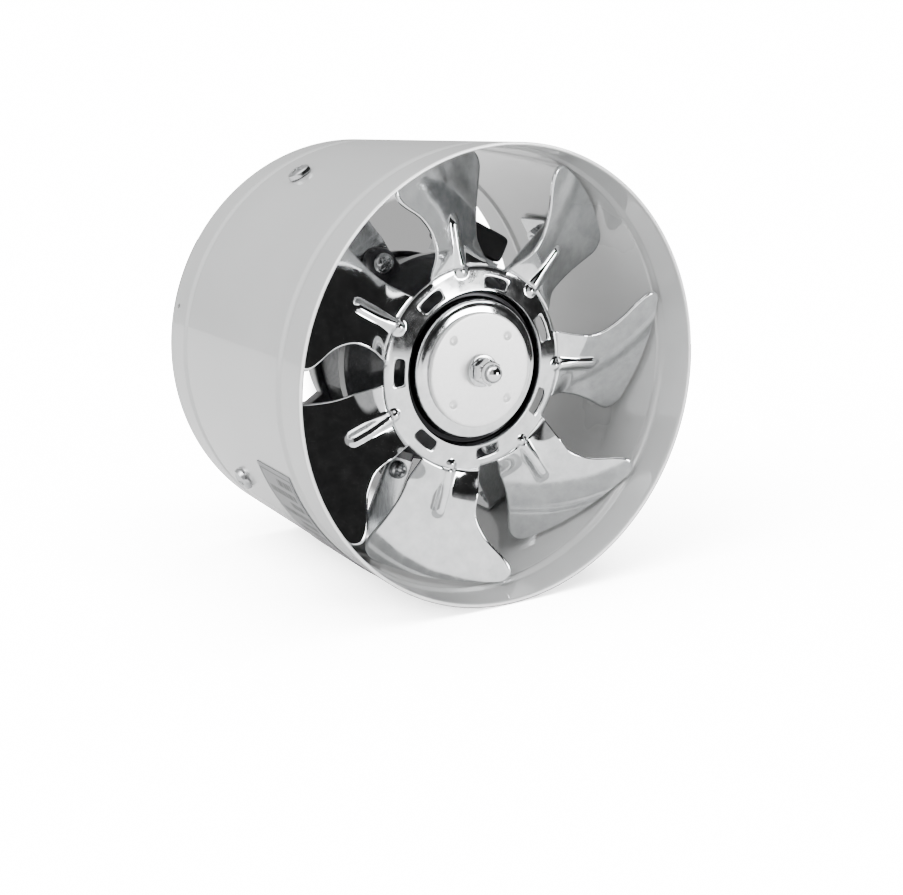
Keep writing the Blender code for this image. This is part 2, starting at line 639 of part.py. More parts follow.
def main():
    clear_scene()
    paint = material("painted_steel", (0.62, 0.63, 0.64), 0.0, 0.25)
    foil = material("label_foil", (0.35, 0.36, 0.37), 0.3, 0.45)
    rubber = material("rubber", (0.02, 0.02, 0.02), 0.0, 0.7)
    steel = material("zinc_plated_steel", (0.60, 0.61, 0.62), 1.0, 0.25)
    chrome = material("bright_steel", (0.75, 0.76, 0.77), 1.0, 0.06)
    cast = material("black_motor_shell", (0.03, 0.03, 0.033), 0.2, 0.4)
    laminations = material("steel_laminations", (0.25, 0.25, 0.26), 0.9, 0.45)
    copper = material("enamelled_copper", (0.45, 0.18, 0.07), 0.7, 0.4)
    black = material("black_plastic", (0.025, 0.025, 0.03), 0.0, 0.4)
    plate_paint = material("hub_plate_zinc", (0.80, 0.81, 0.82), 0.9, 0.3)
    build_casing(paint)
    build_label(foil)
    build_grommet(rubber)
    for index, angle in enumerate(ARM_ANGLES, 1):
        build_arm(index, angle, steel)
    build_casing_screws(steel)
    build_front_bell(cast)
    build_rear_bell(cast)
    build_tie_bolts(steel)
    build_stator(laminations, copper, steel)
    build_strap(steel)
    build_capacitor(black, steel)
    build_impeller(chrome)
    seat = build_hub(plate_paint, chrome, steel)
    thread_end = build_acorn_nut(chrome, seat)
    build_shaft(steel, thread_end)
    build_rotor(laminations)


main()
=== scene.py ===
import math

import bmesh
import bpy
import numpy as np
from mathutils import Matrix, Vector


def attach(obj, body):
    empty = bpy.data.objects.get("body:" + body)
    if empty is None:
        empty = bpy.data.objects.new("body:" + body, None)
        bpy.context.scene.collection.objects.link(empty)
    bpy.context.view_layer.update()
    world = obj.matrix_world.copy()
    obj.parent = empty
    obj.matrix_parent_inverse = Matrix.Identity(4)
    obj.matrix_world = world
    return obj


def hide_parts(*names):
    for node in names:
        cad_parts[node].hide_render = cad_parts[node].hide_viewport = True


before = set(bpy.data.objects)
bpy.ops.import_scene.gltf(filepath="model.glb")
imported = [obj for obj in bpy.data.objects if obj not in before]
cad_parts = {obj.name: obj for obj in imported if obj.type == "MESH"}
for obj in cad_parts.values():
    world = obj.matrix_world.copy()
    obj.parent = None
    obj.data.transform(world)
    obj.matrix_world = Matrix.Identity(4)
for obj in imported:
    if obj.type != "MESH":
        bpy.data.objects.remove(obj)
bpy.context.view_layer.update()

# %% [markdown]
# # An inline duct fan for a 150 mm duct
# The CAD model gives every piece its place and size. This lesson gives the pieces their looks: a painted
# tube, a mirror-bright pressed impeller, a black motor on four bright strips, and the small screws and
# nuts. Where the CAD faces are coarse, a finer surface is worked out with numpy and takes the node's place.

MM = 0.001

# %% [markdown]
# ## One way to put a computed surface into Blender
# A grid of points, rows by columns, is enough for nearly every piece here. Each cell of the grid becomes
# one four-sided face. A grid can be open, or closed along its columns (a turned shape) or its rows (a
# closed outline). Working on whole arrays keeps the code short and the shape exact.

# %% Grid faces, and a mesh object from arrays
def grid_faces(rows, columns, wrap_rows=False, wrap_columns=False):
    """Corner numbers of each cell: a point, the next column, the next row and column, the next row."""
    index = np.arange(rows * columns).reshape(rows, columns)
    if wrap_rows:
        index = np.vstack([index, index[:1]])
    if wrap_columns:
        index = np.hstack([index, index[:, :1]])
    cells = np.stack([index[:-1, :-1], index[:-1, 1:], index[1:, 1:], index[1:, :-1]], axis=-1)
    return cells.reshape(-1, 4)


def add_piece(name, points, faces, material, body, sharp=35.0, facing=None):
    """A mesh from points in millimetres, with doubled points merged and the faces turned outwards. It moves
    with `body`, if it has one. An open sheet has no outside, so `facing` says which way its faces look."""
    mesh = bpy.data.meshes.new(name)
    metres = np.asarray(points, float).reshape(-1, 3) * MM
    mesh.from_pydata(metres.tolist(), [], np.asarray(faces).tolist())
    work = bmesh.new()
    work.from_mesh(mesh)
    bmesh.ops.remove_doubles(work, verts=work.verts, dist=1e-7)
    loose = [vert for vert in work.verts if not vert.link_faces]
    bmesh.ops.delete(work, geom=loose, context="VERTS")
    bmesh.ops.recalc_face_normals(work, faces=work.faces)
    if facing and sum(face.normal.dot(facing) for face in work.faces) < 0:
        bmesh.ops.reverse_faces(work, faces=work.faces)
    work.to_mesh(mesh)
    work.free()
    piece = bpy.data.objects.new(name, mesh)
    bpy.context.scene.collection.objects.link(piece)
    mesh.materials.append(material)
    mesh.shade_smooth()
    mesh.set_sharp_from_angle(angle=math.radians(sharp))
    if body:
        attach(piece, body)
    print(name, len(mesh.polygons), "faces")
    return piece


def clock(angle):
    """Unit vector in the XZ plane for an angle in degrees, clockwise from the top as seen from in front."""
    turn = np.radians(angle)
    return np.stack([np.sin(turn), np.zeros_like(turn), np.cos(turn)], axis=-1)


print("axis of the fan: Y, from the front rim inwards")

# %% [markdown]
# ## Colours and one node helper
# Colours are written as sRGB hex, as a paint chart would give them, and turned to Blender's linear values.
# `node` adds one shader node with its settings and links, so that each finish below reads as a short
# recipe.

# %% Colour and node helpers
def linear(hexadecimal):
    """sRGB hex to linear RGBA: the standard curve, with its straight part near black."""
    channels = np.array([int(hexadecimal[i : i + 2], 16) for i in (1, 3, 5)]) / 255
    curved = ((channels + 0.055) / 1.055) ** 2.4
    flat = channels / 12.92
    return (*np.where(channels <= 0.04045, flat, curved).tolist(), 1.0)


SMOOTHSTEP = {"interpolation_type": "SMOOTHSTEP"}
COLOUR_MIX = {"data_type": "RGBA"}


def node(tree, kind, settings=None, **inputs):
    """Adds a node. Settings are its properties. Inputs are values, or sockets to link from. Each goes by its
    socket's name, or by i and its number where names repeat."""
    made = tree.nodes.new(kind)
    for key, value in (settings or {}).items():
        setattr(made, key, value)
    for key, value in inputs.items():
        numbered = key[0] == "i" and key[1:].isdigit()
        socket = made.inputs[int(key[1:]) if numbered else key.replace("_", " ")]
        if isinstance(value, bpy.types.NodeSocket):
            tree.links.new(value, socket)
        else:
            socket.default_value = value
    return made


def finish(name, **values):
    """A Principled material with the given socket values. Returns the material, its tree and its shader."""
    made = bpy.data.materials.new(name)
    made.use_nodes = True
    shader = made.node_tree.nodes["Principled BSDF"]
    for key, value in values.items():
        shader.inputs[key.replace("_", " ")].default_value = value
    return made, made.node_tree, shader


def in_millimetres(tree):
    """Object coordinates multiplied by 1000, so that a texture scale of 1 is one cycle in a millimetre."""
    where = node(tree, "ShaderNodeTexCoord").outputs["Object"]
    return node(tree, "ShaderNodeVectorMath", {"operation": "SCALE"}, i0=where, Scale=1000.0).outputs[0]


def ramp(tree, factor, stops):
    """A colour ramp over a factor, from (position, linear colour) pairs."""
    made = node(tree, "ShaderNodeValToRGB", Fac=factor)
    first, last = made.color_ramp.elements
    first.position, first.color = stops[0]
    last.position, last.color = stops[-1]
    for position, colour in stops[1:-1]:
        made.color_ramp.elements.new(position).color = colour
    return made.outputs["Color"]


def noise(tree, place, scale, **more):
    """Soft random grain from 0 to 1, with `scale` cycles in a millimetre."""
    return node(tree, "ShaderNodeTexNoise", Vector=place, Scale=scale, **more).outputs["Fac"]


def two_tone(tree, shader, factor, low, high, ends=(0.3, 0.7)):
    """A base colour that runs between two close tones, given as sRGB hex, along a factor."""
    colours = ramp(tree, factor, [(ends[0], linear(low)), (ends[1], linear(high))])
    tree.links.new(colours, shader.inputs["Base Color"])


def spread(tree, factor, low, high):
    """A 0 to 1 factor stretched to a range of plain numbers."""
    return node(tree, "ShaderNodeMapRange", Value=factor, To_Min=low, To_Max=high).outputs["Result"]


def rough(tree, shader, factor, low, high):
    """Roughness that runs from low to high along a factor."""
    tree.links.new(spread(tree, factor, low, high), shader.inputs["Roughness"])


def bump(tree, shader, height, depth_mm, strength):
    """Bump from a height of 0 to 1, with its depth in millimetres."""
    made = node(tree, "ShaderNodeBump", Height=height, Distance=depth_mm * MM, Strength=strength)
    tree.links.new(made.outputs["Normal"], shader.inputs["Normal"])


print("helpers ready")

# %% [markdown]
# ## Finish: stoved enamel on sheet steel
# The casing is rolled from sheet steel, welded along one seam, and enamelled in a light grey gloss. A baked
# gloss enamel is a plastic film, so it isn't metallic: IOR about 1.5, low roughness, and a faint orange
# peel with a cell of about 2 mm. A coat layer gives the sharp highlight and the base keeps the soft, milky
# body colour. A near-white line along the front rim is a painted highlight.

# %% Stoved enamel
PEEL_CELL = 1 / 0.45
enamel, tree, shader = finish("stoved_gloss_enamel", Roughness=0.28, IOR=1.5, Coat_Weight=1.0,
                              Coat_Roughness=0.03, Coat_IOR=1.6)
place = in_millimetres(tree)
cloud = noise(tree, place, 0.02, Detail=3.0)
body_colour = ramp(tree, cloud, [(0.3, linear("#a8a9a9")), (0.7, linear("#afb0b0"))])
depth = node(tree, "ShaderNodeSeparateXYZ", Vector=place).outputs["Y"]
# Painted highlight: near-white #fbfbfb along the front rim, fading out 0.8 mm behind it.
rim = node(tree, "ShaderNodeMapRange", Value=depth, From_Min=0.15, From_Max=0.8, To_Min=1.0, To_Max=0.0)
rim = rim.outputs["Result"]
with_rim_highlight = node(tree, "ShaderNodeMix", COLOUR_MIX, i0=rim, i6=body_colour, i7=linear("#fbfbfb"))
tree.links.new(with_rim_highlight.outputs[2], shader.inputs["Base Color"])
rough(tree, shader, cloud, 0.24, 0.34)
bump(tree, shader, noise(tree, place, 1 / PEEL_CELL, Detail=2.0), 0.02, 0.35)
print("enamel peel cell:", round(PEEL_CELL, 1), "mm")

# %% [markdown]
# ## Finish: mirror-bright plated pressing
# The impeller is pressed from thin steel and plated to a mirror, so it shows its surroundings and almost no
# colour of its own. Metals keep the default IOR. The press leaves the sheet slightly wavy, over about 20
# mm, and a little mottled where the plating is thinner. Both break up the reflections as they do on the
# real blades. In the narrow groove round the hub, an attribute darkens the colour to near-black: painted
# shade in the recess.

# %% Mirror-bright plate
WAVE_CELL = 20.0
plate, tree, shader = finish("bright_plated_pressing", Metallic=1.0, Roughness=0.05)
place = in_millimetres(tree)
mottle = noise(tree, place, 0.22, Detail=6.0, Roughness=0.7)
tone = ramp(tree, mottle, [(0.35, linear("#d6d8d9")), (0.65, linear("#eeeff0"))])
# Painted shade: near-black #1b1b1c mixed in where the groove attribute is 1, in the groove round the hub.
groove = node(tree, "ShaderNodeAttribute", {"attribute_name": "groove"}).outputs["Fac"]
painted_groove_shade = node(tree, "ShaderNodeMix", COLOUR_MIX, i0=groove, i6=tone, i7=linear("#1b1b1c"))
tree.links.new(painted_groove_shade.outputs[2], shader.inputs["Base Color"])
rough(tree, shader, mottle, 0.0, 0.19)
bump(tree, shader, noise(tree, place, 1 / WAVE_CELL, Detail=1.0), 0.8, 0.35)
print("plating waves:", WAVE_CELL, "mm")

# %% [markdown]
# ## Finish: satin zinc, bright zinc and steel
# The hub plate is zinc plated and left satin: brighter and softer than the blades. The arms, screws and
# nuts have bright zinc with fine rolling or turning marks. Noise stretched along one axis is enough for
# these; at about 0.5 mm they are near the limit of what shows.

# %% Zinc finishes
def grained(made, tree, shader, low, high, scale, roughness, depth_mm, strength, detail=4, stretch=(1, 1, 1)):
    """A cast, rolled, moulded or turned surface: two close tones over a fine grain, which also sets the
    roughness and the bump. `stretch` under 1 draws the grain out along an axis."""
    place = node(tree, "ShaderNodeMapping", Vector=in_millimetres(tree), Scale=stretch).outputs["Vector"]
    grain = noise(tree, place, scale, Detail=detail)
    two_tone(tree, shader, grain, low, high)
    rough(tree, shader, grain, *roughness)
    bump(tree, shader, grain, depth_mm, strength)
    return made


satin_zinc = grained(*finish("satin_zinc_plate", Metallic=0.3, Roughness=0.34),
                     "#f0f0f0", "#f8f8f8", 0.9, (0.28, 0.42), 0.02, 0.3)
bright_zinc = grained(*finish("bright_zinc_plate", Metallic=1.0, Roughness=0.18),
                      "#b9bbbc", "#d0d1d2", 2.2, (0.12, 0.26), 0.02, 0.25, 3, (1, 1, 0.12))
print("zinc: satin for the hub plate, bright for strips and screws")

# %% [markdown]
# ## Finish: black enamelled motor shell
# The motor shells are dipped in black enamel. It is a dark plastic film over a slightly rough casting, so
# the gloss is softer than on the casing and a fine pimple of about 1 mm shows in the highlights.

# %% Black motor enamel
film = finish("black_motor_enamel", Roughness=0.3, IOR=1.5, Coat_Weight=0.8, Coat_Roughness=0.08)
motor_enamel = grained(*film, "#232427", "#303135", 0.9, (0.24, 0.42), 0.06, 0.4)
print("motor enamel ready")

# %% [markdown]
# ## Finish: laminations, copper wire, rubber, moulded plastic and ground steel
# These are the small finishes. The stator is a stack of 0.5 mm steel sheets, so lines run round it every
# 0.5 mm; they are drawn at 1 mm, which is as fine as shows. Copper wire is wound at about 0.4 mm and drawn
# at 0.8 mm.

# %% Small finishes
def banded(name, low, high, spacing_mm, roughness, metallic, depth_mm):
    """Bands across the fan's axis, light and dark in turn, for stacked or wound material."""
    made, tree, shader = finish(name, Metallic=metallic, Roughness=roughness)
    place = in_millimetres(tree)
    settings = {"wave_type": "BANDS", "bands_direction": "Y"}
    scale = 2 * math.pi / 20 / spacing_mm
    bands = node(tree, "ShaderNodeTexWave", settings, Vector=place, Scale=scale, Distortion=0.6, Detail=2.0)
    two_tone(tree, shader, bands.outputs["Fac"], low, high, (0.15, 0.75))
    bump(tree, shader, bands.outputs["Fac"], depth_mm, 0.5)
    return made


def speckled(name, low, high, scale, roughness, metallic, depth_mm):
    """A grained surface whose roughness keeps within a quarter of one value."""
    around = (roughness * 0.8, roughness * 1.25)
    plain = finish(name, Metallic=metallic, Roughness=roughness)
    return grained(*plain, low, high, scale, around, depth_mm, 0.4)


laminations = banded("stacked_lamination_steel", "#4a4b4c", "#8a8b8c", 1.0, 0.42, 0.9, 0.1)
copper = banded("enamelled_copper_wire", "#6e3215", "#a8592c", 0.8, 0.35, 0.6, 0.2)
rubber = speckled("moulded_black_rubber", "#121212", "#1d1d1d", 1.2, 0.62, 0.0, 0.06)
plastic = speckled("moulded_black_abs", "#151516", "#1f1f21", 1.6, 0.42, 0.0, 0.04)
ground_steel = speckled("ground_steel", "#9fa1a3", "#b8babc", 1.3, 0.22, 1.0, 0.02)
chrome = speckled("polished_chrome", "#e2e3e4", "#ececed", 0.6, 0.05, 1.0, 0.004)
print("small finishes ready")

# %% [markdown]
# ## The casing tube
# The tube is one turned shape: the front rim, the outside with a shallow rolled bead near each end, the far
# rim, and the inside coming back with the same beads. Holes for the cable and the drain are opened in the
# grid itself: cells are left out, and the points around the gap are moved onto a circle, so the surface
# stays smooth up to the hole.

# %% Casing stations
RADIUS, LENGTH, WALL = 75.0, 110.0, 1.0
BEADS = (15.0, 95.0)
BEAD_HALF_WIDTH, BEAD_DEEP = 2.6, 0.9
EDGE = 0.35  # the rounding of the tube's cut ends


def bead_depth(y):
    """A rounded valley around each bead: a raised cosine about 5 mm wide and 0.9 mm deep."""
    depth = np.zeros_like(y)
    for middle in BEADS:
        near = np.clip(np.abs(y - middle) / BEAD_HALF_WIDTH, 0, 1)
        depth += BEAD_DEEP / 2 * (1 + np.cos(np.pi * near))
    return depth


def depth_stations():
    """Depths from the front rim to the rear one, closer together across the beads."""
    bead = [np.linspace(middle - BEAD_HALF_WIDTH, middle + BEAD_HALF_WIDTH, 15) for middle in BEADS]
    plain = [np.linspace(EDGE, 12, 8), np.linspace(18.2, 91.8, 40), np.linspace(98.2, LENGTH - EDGE, 12)]
    return np.concatenate([plain[0], bead[0], plain[1], bead[1], plain[2]])


stations = depth_stations()
print("stations along the tube:", len(stations))

# %% Open holes in the grid of the tube
def open_hole(angles, depths, angle, depth, radius_mm, reach):
    """Moves the square of points around a hole onto its circle and marks the cells inside it. The square is
    `reach` cells out from its middle point on each side."""
    column = int(np.argmin(np.abs((angles[0] - angle + 180) % 360 - 180)))
    row = int(np.argmin(np.abs(depths[:, 0] - depth)))
    rows, columns = angles.shape
    di = np.arange(rows)[:, None] - row
    dj = (np.arange(columns)[None, :] - column + columns // 2) % columns - columns // 2
    ring = np.maximum(np.abs(di), np.abs(dj))
    bearing = np.arctan2(di, dj)
    on_circle = ring == reach
    degrees = np.degrees(radius_mm / RADIUS)
    angles[on_circle] = (angle + degrees * np.cos(bearing))[on_circle]
    depths[on_circle] = (depth + radius_mm * np.sin(bearing))[on_circle]
    return (di[:-1] >= -reach) & (di[:-1] < reach) & (dj >= -reach) & (dj < reach)


AROUND = 288
CABLE = (172.0, 103.7, 4.8)  # clock angle, depth and radius
DRAIN = (282.5, 105.0, 1.0)
angle_grid = np.tile(np.arange(AROUND) * 360 / AROUND, (len(stations), 1))
depth_grid = np.tile(stations[:, None], (1, AROUND))
gone = open_hole(angle_grid, depth_grid, *CABLE, 3) | open_hole(angle_grid, depth_grid, *DRAIN, 1)
print("cells left out for the holes:", int(gone.sum()))

# %% Build the tube
def tube_skin(angles, depths, wall):
    """Points of one side: the radius follows the beads at each depth."""
    radius = RADIUS - wall - bead_depth(depths)
    around = clock(angles)
    return around * radius[..., None] + np.stack([0 * depths, depths, 0 * depths], axis=-1)


def rim_row(y, inset):
    """One circle of points on the flat end of the tube."""
    return tube_skin(angle_grid[:1], np.full_like(depth_grid[:1], y), inset)


def build_casing():
    """The outside, the rear rim, the inside and the front rim as one closed loop of rows. The edges left open
    round each hole are then joined, outside to inside, which makes the wall of the hole."""
    count = len(stations)
    outer = tube_skin(angle_grid, depth_grid, 0.0)
    inner = tube_skin(angle_grid, depth_grid, WALL)
    front = [rim_row(0.0, inset) for inset in (EDGE, WALL - EDGE)]
    rear = [rim_row(LENGTH, inset) for inset in (EDGE, WALL - EDGE)]
    points = np.concatenate([front[0], outer, *rear, inner[::-1], front[1]])
    keep = np.ones((len(points), AROUND), bool)
    keep[1:count][gone] = False
    keep[count + 3 : 2 * count + 2][gone[::-1]] = False
    faces = grid_faces(len(points), AROUND, wrap_rows=True, wrap_columns=True)[keep.ravel()]
    edges = np.concatenate([faces[:, [0, 1]], faces[:, [1, 2]], faces[:, [2, 3]], faces[:, [3, 0]]])
    used, uses = np.unique(np.sort(edges, axis=1), axis=0, return_counts=True)
    rim = used[uses == 1]
    outer_ids = rim[(rim < (count + 1) * AROUND).all(axis=1)]
    inner_ids = (2 * count + 3 - outer_ids // AROUND) * AROUND + outer_ids % AROUND
    bridge = np.stack([outer_ids[:, 0], outer_ids[:, 1], inner_ids[:, 1], inner_ids[:, 0]], axis=1)
    return add_piece("casing_skin", points, np.concatenate([faces, bridge]), enamel, "casing", 45)


casing = build_casing()
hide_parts("casing_tube")

# %% [markdown]
# ## The impeller
# Seven blades and their hub are one pressing. In the hub the depth depends only on the radius: a raised
# middle, a pressed groove, a flat ring. Beyond the neck each blade twists, so that its depth also grows
# with the angle from its stiffening rib. The sides of a blade are two smooth curves of angle against
# radius. Everything is a function of radius and angle, so the same grid serves all seven blades, and
# Solidify gives the sheet its 0.9 mm.

# %% Impeller curves
BLADES, FIRST_RIB, TIP, NECK = 7, 42.0, 72.0, 34.5
HUB_FRONT, RING_INNER, SHEET = 20.9, 26.4, 0.9
GROOVE = (23.3, 26.3)  # inner and outer radius of the painted shade in the groove round the hub
TWIST = 26.0  # degrees between a blade's cross-section and the plane of the hub


def through(x, xs, ys):
    """A smooth curve through stations: cubic Hermite pieces whose slopes are the mean of both neighbours'."""
    xs, ys = np.asarray(xs, float), np.asarray(ys, float)
    slopes = np.gradient(ys, xs)
    i = np.clip(np.searchsorted(xs, x, side="right") - 1, 0, len(xs) - 2)
    width = xs[i + 1] - xs[i]
    t = np.clip((x - xs[i]) / width, 0, 1)
    rise = (2 * t**3 - 3 * t**2 + 1) * ys[i] + (3 * t**2 - 2 * t**3) * ys[i + 1]
    return rise + width * ((t**3 - 2 * t**2 + t) * slopes[i] + (t**3 - t**2) * slopes[i + 1])


def smooth(t):
    """0 to 1 with level ends: 3t squared minus 2t cubed."""
    t = np.clip(t, 0, 1)
    return t * t * (3 - 2 * t)


def rounded(radius, corner):
    """Degrees that a corner of this radius takes off a side, as the side nears the tip."""
    left = np.clip(corner - (TIP - radius), 0, corner)
    return np.degrees((corner - np.sqrt(np.clip(corner**2 - left**2, 0, None))) / radius)


def blade_sides(radius):
    """Angles of the swept lobe and of the rear edge, in degrees from the rib, at each radius."""
    at = (radius - NECK) / (TIP - NECK)
    stations = (0, 0.16, 0.36, 0.58, 0.78, 1.0)
    lobe = through(at, stations, (-20.0, -15.6, -13.4, -16.0, -20.9, -24.5))
    rear = through(at, stations, (18.5, 16.0, 14.6, 15.0, 16.0, 16.6))
    return lobe + rounded(radius, 6.5), rear - rounded(radius, 6.0)


widths = [np.diff(blade_sides(np.array(radius)))[0].round(1) for radius in (35.0, 60.0)]
print("blade width in degrees at radius 35 and 60 mm:", widths)

# %% Impeller depth
def hub_depth(radius):
    """Raised middle with a sloping shoulder, a groove, then a ring that slopes back to the neck."""
    shoulder = HUB_FRONT + 0.7 * smooth((radius - 19.6) / 3.6)
    down = 3.4 * smooth((radius - 23.0) / 1.1)
    up = 3.2 * smooth((radius - 25.4) / 1.1)
    return shoulder + down - up + 1.4 * np.clip((radius - RING_INNER) / (NECK - RING_INNER), 0, 1)


def rib_height(radius, across):
    """A half-round bar along the rib line, 5 mm wide and 1.3 mm high, with rounded ends."""
    beyond = np.clip(33.5 - radius, 0, None) + np.clip(radius - 49.5, 0, None)
    off = np.sqrt(across**2 + beyond**2) / 2.6
    return 1.3 * smooth(1.25 * (1 - off))


def sheet_depth(radius, angle):
    """Depth of the front of the sheet: hub shape, plus twist times arc length from the rib, minus the rib."""
    grown = smooth((radius - NECK + 1.5) / 11.0)
    back = 0.6 * np.clip(radius - NECK, 0, None) / (TIP - NECK)
    arc = radius * np.radians(angle)
    return hub_depth(radius) + back + math.tan(math.radians(TWIST)) * arc * grown - rib_height(radius, arc)


corners = sheet_depth(np.array(70.0), np.array([-22.0, 15.0])).round(1)
print("depth at the lobe tip and the rear corner, mm:", corners)

# %% Impeller grids
CELLS = 60  # columns of the hub in one blade's share of the circle
PITCH = 360 / BLADES
LOBE_AT_NECK = -20.0


def hub_grid():
    """The disc from the shaft hole to the neck, all the way round. Its first column is a lobe edge."""
    inner = [np.linspace(8.3, 21, 4), np.linspace(21.6, 27, 22)]
    radius = np.concatenate([*inner, np.linspace(27.4, 31.2, 10), np.linspace(31.7, NECK, 7)])
    angle = np.arange(BLADES * CELLS) * PITCH / CELLS + LOBE_AT_NECK
    return np.meshgrid(radius, angle, indexing="ij")


def blade_grid(along=58, across=46):
    """One blade from the neck to the tip, with rows closer together near the tip's rounded corners."""
    part = np.sin(np.linspace(0, np.pi / 2, along)) ** 0.95
    radius = np.repeat((NECK + (TIP - NECK) * part)[:, None], across, axis=1)
    lobe, rear = blade_sides(radius)
    return radius, lobe + (rear - lobe) * np.linspace(0, 1, across)[None, :]


hub_radius, hub_angle = hub_grid()
blade_radius, blade_angle = blade_grid()
print("hub grid", hub_radius.shape, "blade grid", blade_radius.shape)

# %% [markdown]
# ## Windows between the blades
# The press pierces a small window in the web between two blades. In the grid, a block of cells is left out
# and the square ring of points around it is drawn in to a rounded rectangle: each point is divided by its
# own fourth-power norm, which pulls the corners in and leaves the middles of the sides where they were.

# %% Open the windows
WINDOW_RADIUS, HALF_HEIGHT, HALF_TURN = 29.3, 1.9, 9.0  # mm, mm and degrees
WINDOW_ROWS, WINDOW_COLUMNS, WINDOW_MIDDLE = 4.5, 10.5, 52.5  # half sizes and middle column, in cells


def open_windows(radius, angle):
    """Moves the ring of points round each window and returns the cells to leave out."""
    first_row = int(np.argmin(np.abs(radius[:, 0] - 27.4)))
    rows, columns = radius.shape
    v = (np.arange(rows)[:, None] - (first_row + WINDOW_ROWS)) / WINDOW_ROWS
    first = int(WINDOW_MIDDLE - CELLS / 2)
    local = (np.arange(columns)[None, :] - first) % CELLS + first
    u = (local - WINDOW_MIDDLE) / WINDOW_COLUMNS
    norm = np.maximum((u**4 + v**4) ** 0.25, 1e-6)
    ring = np.isclose(np.maximum(np.abs(u), np.abs(v)), 1.0)
    middle = angle - u * WINDOW_COLUMNS * PITCH / CELLS
    angle[ring] = (middle + u / norm * HALF_TURN)[ring]
    radius[ring] = (WINDOW_RADIUS + HALF_HEIGHT * v / norm)[ring]
    return (np.abs(v[:-1] + 0.5 / WINDOW_ROWS) < 1) & (np.abs(u + 0.5 / WINDOW_COLUMNS) < 1)


gone_cells = open_windows(hub_radius, hub_angle)
print("cells left out for the windows:", int(gone_cells.sum()))

# %% Build the impeller
def on_axis(radius, angle, depth):
    """Points at a radius, a clock angle and a depth."""
    return clock(angle) * radius[..., None] + np.stack([0 * depth, depth, 0 * depth], axis=-1)


def build_impeller():
    """The hub disc and seven blades, joined along the neck. The groove attribute is 1 where shade is painted.
    """
    first = LOBE_AT_NECK - PITCH / CELLS / 2
    local = (hub_angle - first) % PITCH + first
    points = [on_axis(hub_radius, hub_angle + FIRST_RIB, sheet_depth(hub_radius, local)).reshape(-1, 3)]
    faces = [grid_faces(*hub_radius.shape, wrap_columns=True)[~gone_cells.ravel()]]
    start = hub_radius.size
    depth = sheet_depth(blade_radius, blade_angle)
    for turn in FIRST_RIB + PITCH * np.arange(BLADES):
        points.append(on_axis(blade_radius, blade_angle + turn, depth).reshape(-1, 3))
        faces.append(grid_faces(*blade_radius.shape) + start)
        start += blade_radius.size
    points, faces = np.concatenate(points), np.concatenate(faces)
    piece = add_piece("impeller_pressing", points, faces, plate, "rotor", 60, (0, -1, 0))
    place = np.empty(len(piece.data.vertices) * 3, np.float32)
    piece.data.vertices.foreach_get("co", place)
    x, _, z = place.reshape(-1, 3).T / MM
    reach = np.hypot(x, z)
    # The groove attribute is 1 across the groove round the hub, where the plate's material paints shade.
    groove = smooth((reach - GROOVE[0]) / 0.5) * smooth((GROOVE[1] - reach) / 0.5)
    layer = piece.data.attributes.new("groove", "FLOAT", "POINT")
    layer.data.foreach_set("value", groove.astype(np.float32))
    sheet = piece.modifiers.new("sheet", "SOLIDIFY")
    sheet.thickness = SHEET * MM
    sheet.offset = -1.0
    return piece


impeller = build_impeller()
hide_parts("impeller")

# %% [markdown]
# ## Turned, bent and filleted shapes
# The rest is turned parts, bent strips and hexagons. All start from a list of corners, and each corner is
# rounded by a short curve between two points set back from it. A turned part carries that profile round an
# axis. A bent strip carries a rounded rectangle along it. A hexagon is a turned part whose radius is held
# inside six flats.

# %% Corners to curves
def filleted(corners, setback=0.3, steps=4, closed=True):
    """Replaces each corner by a quadratic curve between the two points set back from it along its sides."""
    p = np.asarray(corners, float)
    before, after = np.roll(p, 1, axis=0) - p, np.roll(p, -1, axis=0) - p
    sides = [np.linalg.norm(side, axis=1, keepdims=True) for side in (before, after)]
    back = np.minimum(np.broadcast_to(np.reshape(setback, (-1, 1)), (len(p), 1)), 0.45 * np.minimum(*sides))
    a, b = p + before / sides[0] * back, p + after / sides[1] * back
    t = np.linspace(0, 1, steps)[None, :, None]
    curve = (1 - t) ** 2 * a[:, None] + 2 * t * (1 - t) * p[:, None] + t**2 * b[:, None]
    if closed:
        return curve.reshape(-1, 2)
    return np.vstack([p[:1], curve[1:-1].reshape(-1, 2), p[-1:]])


def turned(profile, steps=64, limit=None):
    """Carries a profile of (radius, y) round the Y axis. `limit` caps the radius at each angle."""
    angle = np.arange(steps) * 360 / steps
    profile = np.asarray(profile, float)
    radius = np.repeat(profile[:, :1], steps, axis=1)
    if limit is not None:
        radius = np.minimum(radius, limit(angle)[None, :])
    depth = np.repeat(profile[:, 1:], steps, axis=1)
    points = on_axis(radius, np.broadcast_to(angle, radius.shape), depth)
    return points.reshape(-1, 3), grid_faces(len(profile), steps, wrap_rows=True, wrap_columns=True)


def hexagon(across_flats, turn=0.0):
    """The radius of a regular hexagon at an angle: half the flats over the cosine from the nearest flat."""
    return lambda angle: across_flats / 2 / np.cos(np.radians((angle - turn + 30) % 60 - 30))


def swing(points, angle):
    """Turns points drawn at the top of the fan to their clock angle about its axis."""
    turn = math.radians(angle)
    x, y, z = np.asarray(points, float).reshape(-1, 3).T
    c, s = math.cos(turn), math.sin(turn)
    return np.stack([x * c + z * s, y, z * c - x * s], axis=1)


def outwards(points, height, depth):
    """Turns a part drawn along +Y so that its front looks outwards (+Z), then shifts it."""
    x, y, z = np.asarray(points, float).reshape(-1, 3).T
    return np.stack([x, depth + z, height - y], axis=1)


print("fillet of a square:", len(filleted([(0, 0), (1, 0), (1, 1), (0, 1)])), "points")

